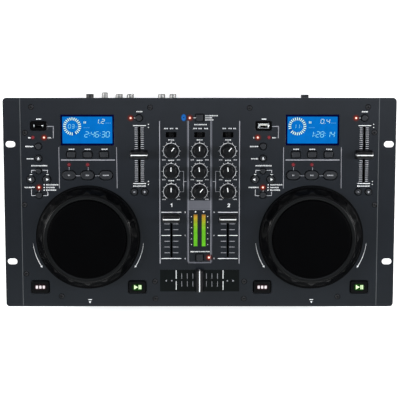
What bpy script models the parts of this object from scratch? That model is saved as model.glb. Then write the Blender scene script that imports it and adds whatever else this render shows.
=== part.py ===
"""Twin slot-in disc player with a two-channel mixer between its decks, in one rack-width body.

X runs to the right, Y to the rear and Z up, in metres. The origin lies on the surface that the
feet stand on, under the middle of the overall footprint. The pieces are laid out from an empty at
the middle of the panel's top face, so heights over the panel are positive and what hangs under it
is negative.
"""

import math

import bmesh
import bpy
from mathutils import Matrix

# Fits shared by all pieces
seat_gap = 0.0003
slide_gap = 0.0003
overrun = 0.0020
fuse_depth = 0.0006
weld_distance = 0.00006

# Top panel and body
panel_width = 0.4826
panel_depth = 0.2600
panel_thickness = 0.0020
panel_corner_radius = 0.0045
body_side_inset = 0.0212
body_front_inset = 0.0060
body_rear_inset = 0.0070
body_height = 0.0700
sheet = 0.0015
front_lip_depth = 0.0065
tab_reach = 0.0095
tab_length = 0.0120
tab_place_shares = (0.335, -0.008, -0.340)

# Rubber feet
foot_height = 0.0080
foot_radius = 0.0125
foot_taper = 0.0015
foot_place_shares = (0.86, 0.36)

# Slots in the ears for the rack's screws
rack_slot_length = 0.0120
rack_slot_width = 0.0075
rack_slot_edge_distance = 0.00875
rack_slot_spacing = 0.1461
ear_line_clearance = 0.0002

# Layout of the panel: the mixer stands in the middle, a deck on each side of it
mixer_width = 0.0982
deck_centre_share = 0.5206
display_key_row_share = 0.232
bend_key_row_share = 0.0546
mixer_column_share = 0.356
knob_row_shares = (0.2492, 0.1523, 0.0554)
cross_slot_row_share = -0.3708

# Jog wheel and the touch plate in its top
jog_diameter = 0.1262
jog_height = 0.0195
jog_underside = 0.0026
jog_edge_height = 0.0040
jog_ring_width = 0.0098
jog_plate_proud = 0.0028
jog_dimples = 16
jog_dimple_depth = 0.0013
jog_dimple_steps = 4
touch_plate_diameter = 0.0964
touch_plate_thickness = 0.0036
touch_plate_crown = 0.0007
jog_hub_radius = 0.0140
jog_hub_reach = 0.0125
encoder_radius = 0.0260
encoder_thickness = 0.0014
encoder_drop = 0.0085

# Keys
key_travel = 0.0010
key_pressed_height = 0.0008
key_edge = 0.0005
key_flange = 0.0010
key_carrier_thickness = 0.0012
small_key_radius = 0.0032
round_key_radius = 0.0037
search_key_radius = 0.0045
display_key_width = 0.0100
display_key_depth = 0.0070
loop_key_width = 0.0158
loop_key_depth = 0.0104
pad_key_width = 0.0210
pad_key_depth = 0.0149
pad_key_corner = 0.0012
pad_key_clearance = 0.00235
square_key_side = 0.0083

# Indicator lights and level meters
led_radius = 0.0015
led_proud = 0.0004
meter_bar_width = 0.0052
meter_bar_length = 0.0400

# Display
display_width = 0.0640
display_rear_margin = 0.0210
display_key_clearance = 0.0082
display_frame_width = 0.0040
display_frame_thickness = 0.0070

# Knobs
knob_radius = 0.0083
knob_top_radius = 0.0070
knob_height = 0.0145
knob_edge = 0.0014
knob_clearance = 0.0008
knob_skirt_height = 0.0030
shaft_radius = 0.0030

# Faders: each cap rides on a stem that slides in a slot of the panel
fader_slot_width = 0.0026
fader_stem_length = 0.0080
pitch_slot_rear_margin = 0.03455
pitch_slot_key_clearance = 0.00745
channel_slot_knob_clearance = 0.0184
channel_slot_cross_clearance = 0.0145
cross_slot_length = 0.0560
fader_end_play = 0.0015
fader_cap_width = 0.0212
fader_cap_length = 0.0112
fader_cap_height = 0.0125
fader_cap_clearance = 0.0008
cross_cap_width = 0.0272
fader_waist_share = 0.60
fader_grip_share = 0.70
fader_grip_width_share = 0.93

# Slide switches
switch_width = 0.0133
switch_depth = 0.0067
switch_cap_width = 0.0056
switch_cap_height = 0.0014

# Control board and what stands on it
board_drop = 0.0165
board_thickness = 0.0016
board_margin = 0.0060
board_end_margin = 0.0180
pot_side = 0.0100
pot_height = 0.0070
fader_body_width = 0.0090
fader_body_height = 0.0080
fader_body_overlength = 0.0080
pillar_radius = 0.0030
pillar_place_shares = ((0.820, 0.415), (0.276, 0.415), (0.782, -0.415), (0.250, -0.415))

# Disc drives under the decks
disc_slot_inset = 0.0100
disc_slot_height = 0.0052
disc_slot_drop = 0.0330
drive_side_clearance = 0.0125
drive_rear_share = 0.048
drive_height = 0.0280
drive_wall = 0.0015
drive_board_clearance = 0.0015
drive_leg_side = 0.0080
drive_front_clearance = 0.0010
hub_set_back = 0.0660
platter_radius = 0.0150
platter_thickness = 0.0026
spindle_radius = 0.0060
cone_radius = 0.0073
cone_top_radius = 0.0066
cone_height = 0.0020
platter_lower = 0.0024

# Power supply
supply_width = 0.1000
supply_drive_clearance = 0.0206
supply_inlet_clearance = 0.0129
supply_thickness = 0.0016
supply_standoff = 0.0050
supply_place_share = 0.60
transformer_clearance = 0.0138
transformer_margin = 0.0090
transformer_height = 0.0300
capacitor_radius = 0.0080
capacitor_height = 0.0240
capacitor_margin = 0.0120
capacitor_spacing = 0.0192

# Sockets in the top panel
usb_frame_width = 0.0196
usb_frame_depth = 0.0110
usb_mouth_width = 0.0125
usb_mouth_depth = 0.0052
usb_reach = 0.0150
usb_flange = 0.0012
usb_flange_thickness = 0.0014

# Sockets in the rear and front walls
rear_row_drop = 0.0280
phono_pitch = 0.0140
phono_radius = 0.00415
phono_reach = 0.0100
phono_bore_radius = 0.0016
phono_bore_depth = 0.0080
phono_edge = 0.0006
phono_block_depth = 0.0120
phono_block_margin = 0.0012
jack_bush_radius = 0.0047
jack_bore_radius = 0.0035
jack_nut_radius = 0.0075
jack_nut_thickness = 0.0024
jack_body_width = 0.0160
jack_body_reach = 0.0250
jack_bore_depth = 0.0240
mic_bush_length = 0.0104
headphone_bush_length = 0.0040
headphone_drop = 0.0360
post_radius = 0.0040
post_neck_radius = 0.0022
post_length = 0.0125
post_grip_length = 0.0085
post_inner_nut_radius = 0.0038
post_inner_nut_thickness = 0.0025
inlet_width = 0.0275
inlet_height = 0.0200
inlet_lip = 0.0030
inlet_lip_thickness = 0.0018
inlet_reach = 0.0210
inlet_recess_width = 0.0246
inlet_recess_height = 0.0166
inlet_recess_depth = 0.0170
inlet_pin_width = 0.0020
inlet_pin_height = 0.0040
inlet_pin_length = 0.0140
inlet_pin_spacing = 0.0140
inlet_pin_drop = 0.0060
inlet_drop = 0.0360
power_button_side = 0.0092
power_button_travel = 0.0040
power_button_pressed_reach = 0.0056
power_button_flange = 0.0018
power_button_flange_thickness = 0.0020
rear_place_shares = {
    "mic": -0.6200,
    "post": -0.5360,
    "line": -0.4250,
    "output": -0.1834,
    "power_button": 0.5940,
    "inlet": 0.7800,
}
headphone_place_share = 0.0

# Facets of round pieces
fine_sides = 36
round_sides = 10
small_sides = 6
knob_sides = 14

# Values worked out from the sizes above
body_half_width = panel_width / 2 - body_side_inset
front_face = -panel_depth / 2 + body_front_inset
rear_face = panel_depth / 2 - body_rear_inset
rear_reach = max(panel_depth / 2, rear_face + max(post_length, mic_bush_length, phono_reach))
panel_y = (panel_depth / 2 - rear_reach) / 2
panel_top = foot_height + body_height + panel_thickness
panel_under = -panel_thickness
body_top = panel_under - seat_gap
body_bottom = panel_under - body_height
deck_width = body_half_width - mixer_width / 2
deck_x = mixer_width / 2 + deck_width * deck_centre_share
board_top = -board_drop
board_under = board_top - board_thickness
stem_bottom = board_top + fader_body_height + seat_gap
shaft_bottom = board_top + pot_height + seat_gap
drive_top = board_under - drive_board_clearance
drive_bottom = drive_top - drive_height
drive_front = front_face + sheet + drive_front_clearance
drive_rear = drive_rear_share * panel_depth
drive_width = deck_width - 2 * drive_side_clearance
drive_depth = drive_rear - drive_front
drive_middle = drive_front + drive_depth / 2
disc_slot_width = drive_width - 2 * disc_slot_inset
hub_y = drive_front + hub_set_back
supply_front = drive_rear + supply_drive_clearance
supply_depth = rear_face - inlet_reach - supply_inlet_clearance - supply_front
transformer_depth = supply_depth - 2 * transformer_margin
capacitor_row = capacitor_margin + capacitor_spacing + capacitor_radius
transformer_width = supply_width - pillar_radius - capacitor_row - transformer_clearance
tray_floor = body_bottom + sheet
carrier_top = panel_under - seat_gap
carrier_bottom = carrier_top - key_carrier_thickness
key_height = key_pressed_height + key_travel
power_button_reach = power_button_pressed_reach + power_button_travel
pad_key_front = front_face + sheet + front_lip_depth + pad_key_clearance + key_flange
pad_key_y = pad_key_front + pad_key_depth / 2
display_front = display_key_row_share * panel_depth + display_key_depth / 2 + display_key_clearance
display_depth = panel_depth / 2 - display_rear_margin - display_front
display_y = display_front + display_depth / 2
pitch_slot_front = bend_key_row_share * panel_depth + round_key_radius + pitch_slot_key_clearance
pitch_slot_length = panel_depth / 2 - pitch_slot_rear_margin - pitch_slot_front
pitch_slot_y = pitch_slot_front + pitch_slot_length / 2
channel_slot_front = cross_slot_row_share * panel_depth + cross_cap_width / 2 + channel_slot_cross_clearance
channel_slot_rear = knob_row_shares[-1] * panel_depth - knob_radius - channel_slot_knob_clearance
channel_slot_length = channel_slot_rear - channel_slot_front
channel_slot_y = channel_slot_front + channel_slot_length / 2

# Places on a deck, as shares of the deck's width and the panel's depth
deck_place_shares = {
    "usb": (-0.349, 0.368),
    "select": (-0.351, 0.271),
    "eject": (-0.351, 0.214),
    "skip": (-0.351, 0.154),
    "back": (-0.408, 0.114),
    "forward": (-0.294, 0.114),
    "jog_mode": (-0.351, 0.039),
    "display": (0.002, display_y / panel_depth),
    "display_key_1": (-0.116, display_key_row_share),
    "display_key_2": (0.002, display_key_row_share),
    "display_key_3": (0.120, display_key_row_share),
    "loop_key_1": (-0.133, 0.134),
    "loop_key_2": (0.000, 0.134),
    "loop_key_3": (0.133, 0.134),
    "pitch_key": (0.374, 0.405),
    "pitch_slot": (0.374, pitch_slot_y / panel_depth),
    "bend_down": (0.3370, bend_key_row_share),
    "bend_up": (0.4110, bend_key_row_share),
    "jog": (0.000, -0.1635),
    "cue": (-0.352, pad_key_y / panel_depth),
    "play": (0.3535, pad_key_y / panel_depth),
}
deck_led_shares = {
    "disc": (-0.390, 0.313),
    "card": (-0.309, 0.313),
    "jog_mode": (-0.351, 0.076),
    "loop_in": (-0.133, 0.184),
    "loop_out": (0.001, 0.184),
    "pitch": (0.3136, 0.405),
}

# Places in the mixer, as shares of the mixer's width and the panel's depth
mixer_place_shares = {
    "pairing": (0.000, 0.4056),
    "fader_start": (0.000, -0.2619),
    "switches": (mixer_column_share, 0.3258),
    "channel_slot": (mixer_column_share, channel_slot_y / panel_depth),
    "cross_slot": (0.000, cross_slot_row_share),
    "meter": (0.051, -0.1308),
}
mixer_led_shares = {
    "pairing": (-0.123, 0.4056),
    "fader_start": (0.118, -0.2612),
}

# Where each channel fader stands in the photographed pose, from the middle of its travel
channel_fader_rest_share = 0.478

knob_names = {
    ("gain", -1): 0,
    ("high", -1): 1,
    ("low", -1): 2,
    ("cue_level", 0): 0,
    ("cue_mix", 0): 1,
    ("master", 0): 2,
    ("gain", 1): 0,
    ("high", 1): 1,
    ("low", 1): 2,
}


def clear_scene():
    for obj in list(bpy.data.objects):
        bpy.data.objects.remove(obj)


def make_material(name, colour, roughness, metallic=0.0):
    material = bpy.data.materials.new(name)
    material.use_nodes = True
    shader = material.node_tree.nodes["Principled BSDF"]
    shader.inputs["Base Color"].default_value = (*colour, 1.0)
    shader.inputs["Roughness"].default_value = roughness
    shader.inputs["Metallic"].default_value = metallic
    material.diffuse_color = (*colour, 1.0)
    return material


def circle(radius, sides, x=0.0, y=0.0):
    """A regular outline with flats across the axes."""
    step = 2 * math.pi / sides
    angles = [(i + 0.5) * step for i in range(sides)]
    return [(x + radius * math.cos(a), y + radius * math.sin(a)) for a in angles]


def around(radius, gap, sides):
    """Corner radius of a hole whose flats clear a round piece by the gap."""
    return (radius + gap) / math.cos(math.pi / sides)


def rectangle(width, depth, x=0.0, y=0.0):
    corners = ((-1, -1), (1, -1), (1, 1), (-1, 1))
    return [(x + sx * width / 2, y + sy * depth / 2) for sx, sy in corners]


def rounded(width, depth, radius, steps, x=0.0, y=0.0):
    """A rectangle with arcs at its corners, or a round-ended slot when the radius is half its depth."""
    points = []
    for quarter, (sx, sy) in enumerate(((1, 1), (-1, 1), (-1, -1), (1, -1))):
        middle = (x + sx * (width / 2 - radius), y + sy * (depth / 2 - radius))
        for i in range(steps + 1):
            angle = (quarter + i / steps) * math.pi / 2
            point = (middle[0] + radius * math.cos(angle), middle[1] + radius * math.sin(angle))
            if not points or math.dist(point, points[-1]) > radius * 1e-3:
                points.append(point)
    if math.dist(points[0], points[-1]) <= radius * 1e-3:
        points.pop()
    return points


def add_loft(bm, sections):
    """Adds a closed body through outlines of equal length, each given with its height."""
    rings = [[bm.verts.new((x, y, z)) for x, y in outline] for outline, z in sections]
    for lower, upper in zip(rings, rings[1:]):
        for i in range(len(lower)):
            bm.faces.new((lower[i - 1], lower[i], upper[i], upper[i - 1]))
    bm.faces.new(rings[0][::-1])
    bm.faces.new(rings[-1])


def add_prism(bm, outline, low, high):
    add_loft(bm, [(outline, low), (outline, high)])


def add_sheet(bm, regions, low, high):
    """Adds a flat plate from regions that meet edge to edge, each an outline and its holes."""
    for rings in regions:
        edges = []
        for points in rings:
            ring = [bm.verts.new((x, y, low)) for x, y in points]
            edges += [bm.edges.new((ring[i - 1], ring[i])) for i in range(len(ring))]
        bmesh.ops.triangle_fill(bm, use_beauty=True, use_dissolve=False, edges=edges)
    bmesh.ops.remove_doubles(bm, verts=bm.verts, dist=weld_distance)
    grown = bmesh.ops.extrude_face_region(bm, geom=bm.faces[:])["geom"]
    risen = [item for item in grown if isinstance(item, bmesh.types.BMVert)]
    bmesh.ops.translate(bm, verts=risen, vec=(0.0, 0.0, high - low))


def turned(profile, sides, x=0.0, y=0.0):
    """Sections of a round body, from a profile of radii and heights."""
    return [(circle(radius, sides, x, y), height) for radius, height in profile]


def stand_up(bm):
    """Turns a body built flat so that its Y becomes Z, and its height points to the front."""
    bmesh.ops.transform(bm, matrix=Matrix.Rotation(math.pi / 2, 4, "X"), verts=bm.verts)


def face_rear(bm):
    """Turns a body built upright so that its height points to the rear and its Y down."""
    bmesh.ops.transform(bm, matrix=Matrix.Rotation(-math.pi / 2, 4, "X"), verts=bm.verts)


def make_object(name, bm, material):
    bmesh.ops.recalc_face_normals(bm, faces=bm.faces)
    mesh = bpy.data.meshes.new(name)
    bm.to_mesh(mesh)
    bm.free()
    mesh.materials.append(material)
    obj = bpy.data.objects.new(name, mesh)
    bpy.context.scene.collection.objects.link(obj)
    return obj


def combine(obj, bm, operation):
    """Fuses the bodies in bm to the object, or cuts them from it."""
    tool = make_object(f"{obj.name}_tool", bm, obj.data.materials[0])
    modifier = obj.modifiers.new(operation, "BOOLEAN")
    modifier.operation = operation
    modifier.solver = "EXACT"
    modifier.object = tool
    graph = bpy.context.evaluated_depsgraph_get()
    mesh = bpy.data.meshes.new_from_object(obj.evaluated_get(graph))
    obj.modifiers.clear()
    obj.data = mesh
    mesh.name = obj.name
    bpy.data.objects.remove(tool)


def build(name, material, base, fused=None, cut=None):
    """Makes one solid from a base body, others fused to it and others cut from it."""
    obj = make_object(name, base, material)
    if fused is not None:
        combine(obj, fused, "UNION")
    if cut is not None:
        combine(obj, cut, "DIFFERENCE")
    obj.data.shade_smooth()
    obj.data.set_sharp_from_angle(angle=math.radians(35))
    return obj


def place(obj, parent, x=0.0, y=0.0, z=0.0):
    obj.parent = parent
    obj.location = (x, y, z)
    return obj


def copy_of(obj, name, parent, x=0.0, y=0.0, z=0.0):
    """Another object with the same mesh, placed elsewhere."""
    twin = bpy.data.objects.new(name, obj.data)
    bpy.context.scene.collection.objects.link(twin)
    return place(twin, parent, x, y, z)


def make_empty(name, parent=None, x=0.0, y=0.0, z=0.0):
    empty = bpy.data.objects.new(name, None)
    bpy.context.scene.collection.objects.link(empty)
    return place(empty, parent, x, y, z)


def deck_place(key, shares=deck_place_shares):
    share_x, share_y = shares[key]
    return share_x * deck_width, share_y * panel_depth


def mixer_place(key, shares=mixer_place_shares):
    share_x, share_y = shares[key]
    return share_x * mixer_width, share_y * panel_depth


def rear_x(key):
    return rear_place_shares[key] * body_half_width


round_keys = {
    "select": round_key_radius,
    "eject": round_key_radius,
    "skip": small_key_radius,
    "back": search_key_radius,
    "forward": search_key_radius,
    "jog_mode": round_key_radius,
    "pitch_key": round_key_radius,
    "bend_down": round_key_radius,
    "bend_up": round_key_radius,
}


def key_outline(kind, grow, x=0.0, y=0.0):
    """Outline of a key's cap, or of its hole or flange when it grows."""
    if kind in round_keys:
        return circle(around(round_keys[kind], grow, round_sides), round_sides, x, y)
    width, depth, corner, steps = {
        "display": (display_key_width, display_key_depth, pad_key_corner, 1),
        "loop": (loop_key_width, loop_key_depth, loop_key_depth / 2, 4),
        "pad": (pad_key_width, pad_key_depth, pad_key_corner, 1),
        "square": (square_key_side, square_key_side, pad_key_corner, 1),
    }[kind]
    return rounded(width + 2 * grow, depth + 2 * grow, corner + grow, steps, x, y)


def key_kind(key):
    if key in round_keys:
        return key
    if key in ("cue", "play"):
        return "pad"
    return key.split("_")[0]


def add_cap(bm, kind, x=0.0, y=0.0, root=carrier_bottom):
    """Adds a key cap that rises through the panel to its bevelled top."""
    add_loft(
        bm,
        [
            (key_outline(kind, 0.0, x, y), root),
            (key_outline(kind, 0.0, x, y), key_height - key_edge),
            (key_outline(kind, -key_edge, x, y), key_height),
        ],
    )


def single_key(name, kind, material):
    """A key with a flange of its own, which stops it under the panel."""
    base = bmesh.new()
    add_loft(
        base,
        [
            (key_outline(kind, key_flange), carrier_bottom),
            (key_outline(kind, key_flange), carrier_top),
            (key_outline(kind, 0.0), carrier_top),
            (key_outline(kind, 0.0), key_height - key_edge),
            (key_outline(kind, -key_edge), key_height),
        ],
    )
    return build(name, material, base)


def key_strip(name, keys, strips, material, windows=()):
    """Several caps on one moulded carrier, placed from the middle of the group."""
    middle = group_middle(keys)
    base = bmesh.new()
    (width, depth, x, y), *more = strips
    add_prism(base, rectangle(width, depth, x, y), carrier_bottom, carrier_top)
    obj = build(name, material, base)
    for width, depth, x, y in more:
        arm = bmesh.new()
        add_prism(arm, rectangle(width, depth, x, y), carrier_bottom, carrier_top)
        combine(obj, arm, "UNION")
    caps = bmesh.new()
    for key in keys:
        x, y = deck_place(key)
        add_cap(caps, key_kind(key), x - middle[0], y - middle[1], carrier_top - fuse_depth)
    combine(obj, caps, "UNION")
    if windows:
        cut = bmesh.new()
        for x, y in windows:
            hole = circle(around(led_radius, key_flange, small_sides), small_sides, x, y)
            add_prism(cut, hole, carrier_bottom - overrun, carrier_top + overrun)
        combine(obj, cut, "DIFFERENCE")
    obj.data.shade_smooth()
    obj.data.set_sharp_from_angle(angle=math.radians(35))
    return obj


def group_middle(keys):
    places = [deck_place(key) for key in keys]
    return tuple(sum(values) / len(keys) for values in zip(*places))


def row_strip(keys, width, depth):
    """Size and place of a carrier under a straight row of equal keys."""
    middle = group_middle(keys)
    xs = [deck_place(key)[0] - middle[0] for key in keys]
    ys = [deck_place(key)[1] - middle[1] for key in keys]
    return (
        max(xs) - min(xs) + width + 2 * key_flange,
        max(ys) - min(ys) + depth + 2 * key_flange,
        (max(xs) + min(xs)) / 2,
        (max(ys) + min(ys)) / 2,
    )


def deck_holes(centre_x):
    """Openings of the panel over one deck."""
    holes = []
    for key in (
        "select", "eject", "skip", "back", "forward", "jog_mode", "pitch_key", "bend_down",
        "bend_up", "display_key_1", "display_key_2", "display_key_3", "loop_key_1",
        "loop_key_2", "loop_key_3", "cue", "play",
    ):
        x, y = deck_place(key)
        holes.append(key_outline(key_kind(key), slide_gap, centre_x + x, y))
    for key in deck_led_shares:
        x, y = deck_place(key, deck_led_shares)
        holes.append(led_hole(centre_x + x, y))
    x, y = deck_place("display")
    holes.append(rectangle(display_width, display_depth, centre_x + x, y))
    x, y = deck_place("usb")
    holes.append(rectangle(usb_frame_width, usb_frame_depth, centre_x + x, y))
    x, y = deck_place("pitch_slot")
    holes.append(rectangle(fader_slot_width, pitch_slot_length, centre_x + x, y))
    x, y = deck_place("jog")
    radius = around(jog_hub_radius, slide_gap, 2 * round_sides)
    holes.append(circle(radius, 2 * round_sides, centre_x + x, y))
    return holes


def led_hole(x, y):
    return circle(around(led_radius, seat_gap, small_sides), small_sides, x, y)


def knob_place(column, row):
    return column * mixer_column_share * mixer_width, knob_row_shares[row] * panel_depth


def mixer_holes():
    """Openings of the panel over the mixer."""
    holes = []
    for (_, column), row in knob_names.items():
        x, y = knob_place(column, row)
        holes.append(circle(around(shaft_radius, slide_gap, small_sides), small_sides, x, y))
    for column in (-1, 0, 1):
        x, y = mixer_place("switches")
        holes.append(rectangle(switch_width, switch_depth, column * x, y))
    for key in ("pairing", "fader_start"):
        x, y = mixer_place(key)
        holes.append(key_outline("square", slide_gap, x, y))
        x, y = mixer_place(key, mixer_led_shares)
        holes.append(led_hole(x, y))
    for side in (-1, 1):
        x, y = mixer_place("channel_slot")
        holes.append(rectangle(fader_slot_width, channel_slot_length, side * x, y))
        x, y = mixer_place("meter")
        holes.append(rectangle(meter_bar_width, meter_bar_length, side * x, y))
    x, y = mixer_place("cross_slot")
    holes.append(rectangle(cross_slot_length, fader_slot_width, x, y))
    return holes


def ear(side, line):
    """Outline and slots of an ear, from its line beside the body's wall to the panel's end."""
    corners = rounded(panel_width, panel_depth, panel_corner_radius, 3)
    rear, front = [[p for p in corners if p[0] > 0 and p[1] * end > 0] for end in (1, -1)]
    outline = [*rear, (line, panel_depth / 2), (line, -panel_depth / 2), *front]
    x, y = panel_width / 2 - rack_slot_edge_distance, rack_slot_spacing / 2
    width, depth = rack_slot_length, rack_slot_width
    slots = [rounded(width, depth, depth / 2, 3, x, end * y) for end in (-1, 1)]
    return [[(side * x, y) for x, y in points] for points in (outline, *slots)]


def top_panel(material):
    """The pierced panel, scored beside the body's walls where each ear begins."""
    line = body_half_width + ear_line_clearance
    holes = deck_holes(-deck_x) + deck_holes(deck_x) + mixer_holes()
    middle = [rectangle(2 * line, panel_depth), *holes]
    base = bmesh.new()
    add_sheet(base, [ear(-1, line), middle, ear(1, line)], panel_under, 0.0)
    return build("top_panel", material, base)


def base_tray(material):
    """Folded floor and side walls, with screw tabs under the panel and feet under the floor."""
    low, high = front_face + sheet + seat_gap, rear_face - sheet - seat_gap
    half, inner = body_half_width, body_half_width - sheet
    fold = [
        (-half, body_bottom), (half, body_bottom), (half, body_top), (inner, body_top),
        (inner, tray_floor), (-inner, tray_floor), (-inner, body_top), (-half, body_top),
    ]
    base = bmesh.new()
    add_prism(base, fold, -high, -low)
    stand_up(base)
    fused = bmesh.new()
    for side in (-1, 1):
        for share in tab_place_shares:
            x = side * (inner - tab_reach / 2 + fuse_depth / 2)
            tab = rectangle(tab_reach + fuse_depth, tab_length, x, share * panel_depth)
            add_prism(fused, tab, body_top - sheet, body_top - weld_distance)
        for end in (-1, 1):
            x = side * foot_place_shares[0] * body_half_width
            y = end * foot_place_shares[1] * panel_depth
            floor = body_bottom + fuse_depth
            foot = body_bottom - foot_height
            profile = [(foot_radius - foot_taper, foot), (foot_radius, floor)]
            add_loft(fused, turned(profile, round_sides, x, y))
    return build("base_tray", material, base, fused)


def wall(name, material, holes, face_y, outward, fused=None):
    """An upright wall of the body, from the panel down to the tray's underside."""
    base = bmesh.new()
    height = body_top - body_bottom
    outline = rectangle(2 * body_half_width, height, 0.0, (body_top + body_bottom) / 2)
    add_sheet(base, [(outline, *holes)], 0.0, sheet)
    stand_up(base)
    shift = face_y + (sheet if outward < 0 else 0.0)
    bmesh.ops.translate(base, verts=base.verts, vec=(0.0, shift, 0.0))
    return build(name, material, base, fused)


def lip(face_y, inward):
    """A flange that turns in under the panel from the top of a wall."""
    fused = bmesh.new()
    reach = front_lip_depth
    middle = face_y + inward * (sheet - fuse_depth + (reach + fuse_depth) / 2)
    width = 2 * (body_half_width - sheet - tab_reach - sheet)
    outline = rectangle(width, reach + fuse_depth, 0.0, middle)
    add_prism(fused, outline, body_top - sheet, body_top - weld_distance)
    return fused


def front_panel(material):
    x = headphone_place_share * body_half_width
    holes = [
        rounded(disc_slot_width, disc_slot_height, disc_slot_height / 2, 3, side * deck_x, -disc_slot_drop)
        for side in (-1, 1)
    ]
    radius = around(jack_bush_radius, seat_gap, round_sides)
    holes.append(circle(radius, round_sides, x, -headphone_drop))
    return wall("front_panel", material, holes, front_face, -1, lip(front_face, 1))


def phono_places():
    half = phono_pitch / 2
    return [(sx * half, row * phono_pitch) for sx in (-1, 1) for row in (0, 1)]


def rear_panel(material):
    holes = []
    for key in ("line", "output"):
        for x, drop in phono_places():
            radius = around(phono_radius, seat_gap, round_sides)
            holes.append(circle(radius, round_sides, rear_x(key) + x, -rear_row_drop - drop))
    radius = around(jack_bush_radius, seat_gap, round_sides)
    holes.append(circle(radius, round_sides, rear_x("mic"), -rear_row_drop))
    radius = around(post_neck_radius, seat_gap, small_sides)
    holes.append(circle(radius, small_sides, rear_x("post"), -rear_row_drop))
    side = power_button_side + 2 * slide_gap
    holes.append(rectangle(side, side, rear_x("power_button"), -rear_row_drop))
    width, height = inlet_width + 2 * seat_gap, inlet_height + 2 * seat_gap
    holes.append(rectangle(width, height, rear_x("inlet"), -inlet_drop))
    return wall("rear_panel", material, holes, rear_face, 1, lip(rear_face, -1))


def jog_ring_outline(radius, depth):
    """A circle whose edge is drawn in by finger dimples."""
    steps = jog_dimples * jog_dimple_steps
    points = []
    for i in range(steps):
        phase = i % jog_dimple_steps / jog_dimple_steps
        angle = 2 * math.pi * (i + 0.5) / steps
        inset = depth * math.sin(math.pi * phase) ** 2
        points.append(((radius - inset) * math.cos(angle), (radius - inset) * math.sin(angle)))
    return points


def jog_wheel(name, material):
    """A wheel with a dimpled sloping ring, a recess for its plate and a hub through the panel."""
    outer = jog_diameter / 2
    rim = outer - jog_ring_width
    rim_height = jog_height - jog_plate_proud
    recess = touch_plate_diameter / 2 + seat_gap
    recess_floor = jog_height - touch_plate_thickness - seat_gap
    slope = rim_height - jog_edge_height
    ring_shares = ((0.0, 0.0, 0.4), (0.12, 0.35, 1.0), (0.45, 0.75, 0.8), (1.0, 1.0, 0.0))
    base = bmesh.new()
    sections = [
        (jog_ring_outline(outer - key_edge, 0.0), jog_underside),
        (jog_ring_outline(outer, 0.0), jog_underside + key_edge),
    ]
    for across, up, dimple in ring_shares:
        radius = outer - across * jog_ring_width
        outline = jog_ring_outline(radius, dimple * jog_dimple_depth)
        sections.append((outline, jog_edge_height + up * slope))
    add_loft(base, sections)
    cut = bmesh.new()
    edge = (recess + rim) / 2
    profile = [(recess, recess_floor), (recess, rim_height - key_edge), (edge, rim_height + overrun)]
    add_loft(cut, turned(profile, fine_sides))
    fused = bmesh.new()
    encoder_top = -encoder_drop
    profile = [
        (jog_hub_radius, -jog_hub_reach),
        (jog_hub_radius, encoder_top - encoder_thickness),
        (encoder_radius, encoder_top - encoder_thickness),
        (encoder_radius, encoder_top),
        (jog_hub_radius, encoder_top),
        (jog_hub_radius, recess_floor - fuse_depth),
    ]
    add_loft(fused, turned(profile, 2 * round_sides))
    return build(name, material, base, fused, cut)


def touch_plate(name, material):
    radius = touch_plate_diameter / 2
    floor = jog_height - touch_plate_thickness
    profile = [
        (radius, floor),
        (radius, jog_height - touch_plate_crown - key_edge),
        (radius - key_edge, jog_height - touch_plate_crown),
        (radius / 2, jog_height),
    ]
    base = bmesh.new()
    add_loft(base, turned(profile, fine_sides))
    return build(name, material, base)


def fader(name, cap_width, material):
    """A waisted cap on a flat stem; it slides along Y."""
    base = bmesh.new()
    stem_width = fader_slot_width - 2 * slide_gap
    stem = rounded(stem_width, fader_stem_length, stem_width / 4, 1)
    corner = fader_cap_length / 10
    grip_width = cap_width * fader_grip_width_share
    grip = fader_cap_length * fader_grip_share
    waist = fader_cap_length * fader_waist_share
    top = fader_cap_height
    foot = fader_cap_clearance
    base_top = foot + corner
    sections = [
        (stem, stem_bottom),
        (stem, foot),
        (rounded(cap_width, fader_cap_length, corner, 1), foot),
        (rounded(cap_width, fader_cap_length, corner, 1), base_top),
        (rounded(grip_width, waist, corner, 1), top * fader_grip_share),
        (rounded(grip_width, grip, corner, 1), top - corner),
        (rounded(grip_width - corner, waist, corner, 1), top),
    ]
    add_loft(base, sections)
    return build(name, material, base)


def knob(name, material):
    """A tapered knob on a shaft that runs down to its pot."""
    profile = [
        (shaft_radius, shaft_bottom),
        (shaft_radius, knob_clearance),
        (knob_radius, knob_clearance),
        (knob_radius, knob_clearance + knob_skirt_height),
        (knob_top_radius, knob_height - knob_edge),
        (knob_top_radius - knob_edge, knob_height),
    ]
    base = bmesh.new()
    add_loft(base, turned(profile, knob_sides))
    return build(name, material, base)


def slide_switch(name, material):
    """A small slider in a window of the panel, on a blade that runs down to its body."""
    depth = switch_depth - 2 * slide_gap
    blade = depth / 2
    sections = [
        (rectangle(switch_cap_width / 2, blade), stem_bottom),
        (rectangle(switch_cap_width / 2, blade), panel_under),
        (rectangle(switch_cap_width, depth), panel_under),
        (rectangle(switch_cap_width, depth), switch_cap_height - key_edge),
        (rectangle(switch_cap_width - 2 * key_edge, depth - 2 * key_edge), switch_cap_height),
    ]
    base = bmesh.new()
    add_loft(base, sections)
    return build(name, material, base)


def display(name, material):
    """A display whose glass fills the panel's window, with its frame under the panel."""
    glass_width = display_width - 2 * seat_gap
    glass_depth = display_depth - 2 * seat_gap
    frame = rectangle(display_width + 2 * display_frame_width, display_depth + 2 * display_frame_width)
    sections = [
        (frame, carrier_top - display_frame_thickness),
        (frame, carrier_top),
        (rectangle(glass_width, glass_depth), carrier_top),
        (rectangle(glass_width, glass_depth), 0.0),
    ]
    base = bmesh.new()
    add_loft(base, sections)
    return build(name, material, base)


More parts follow.
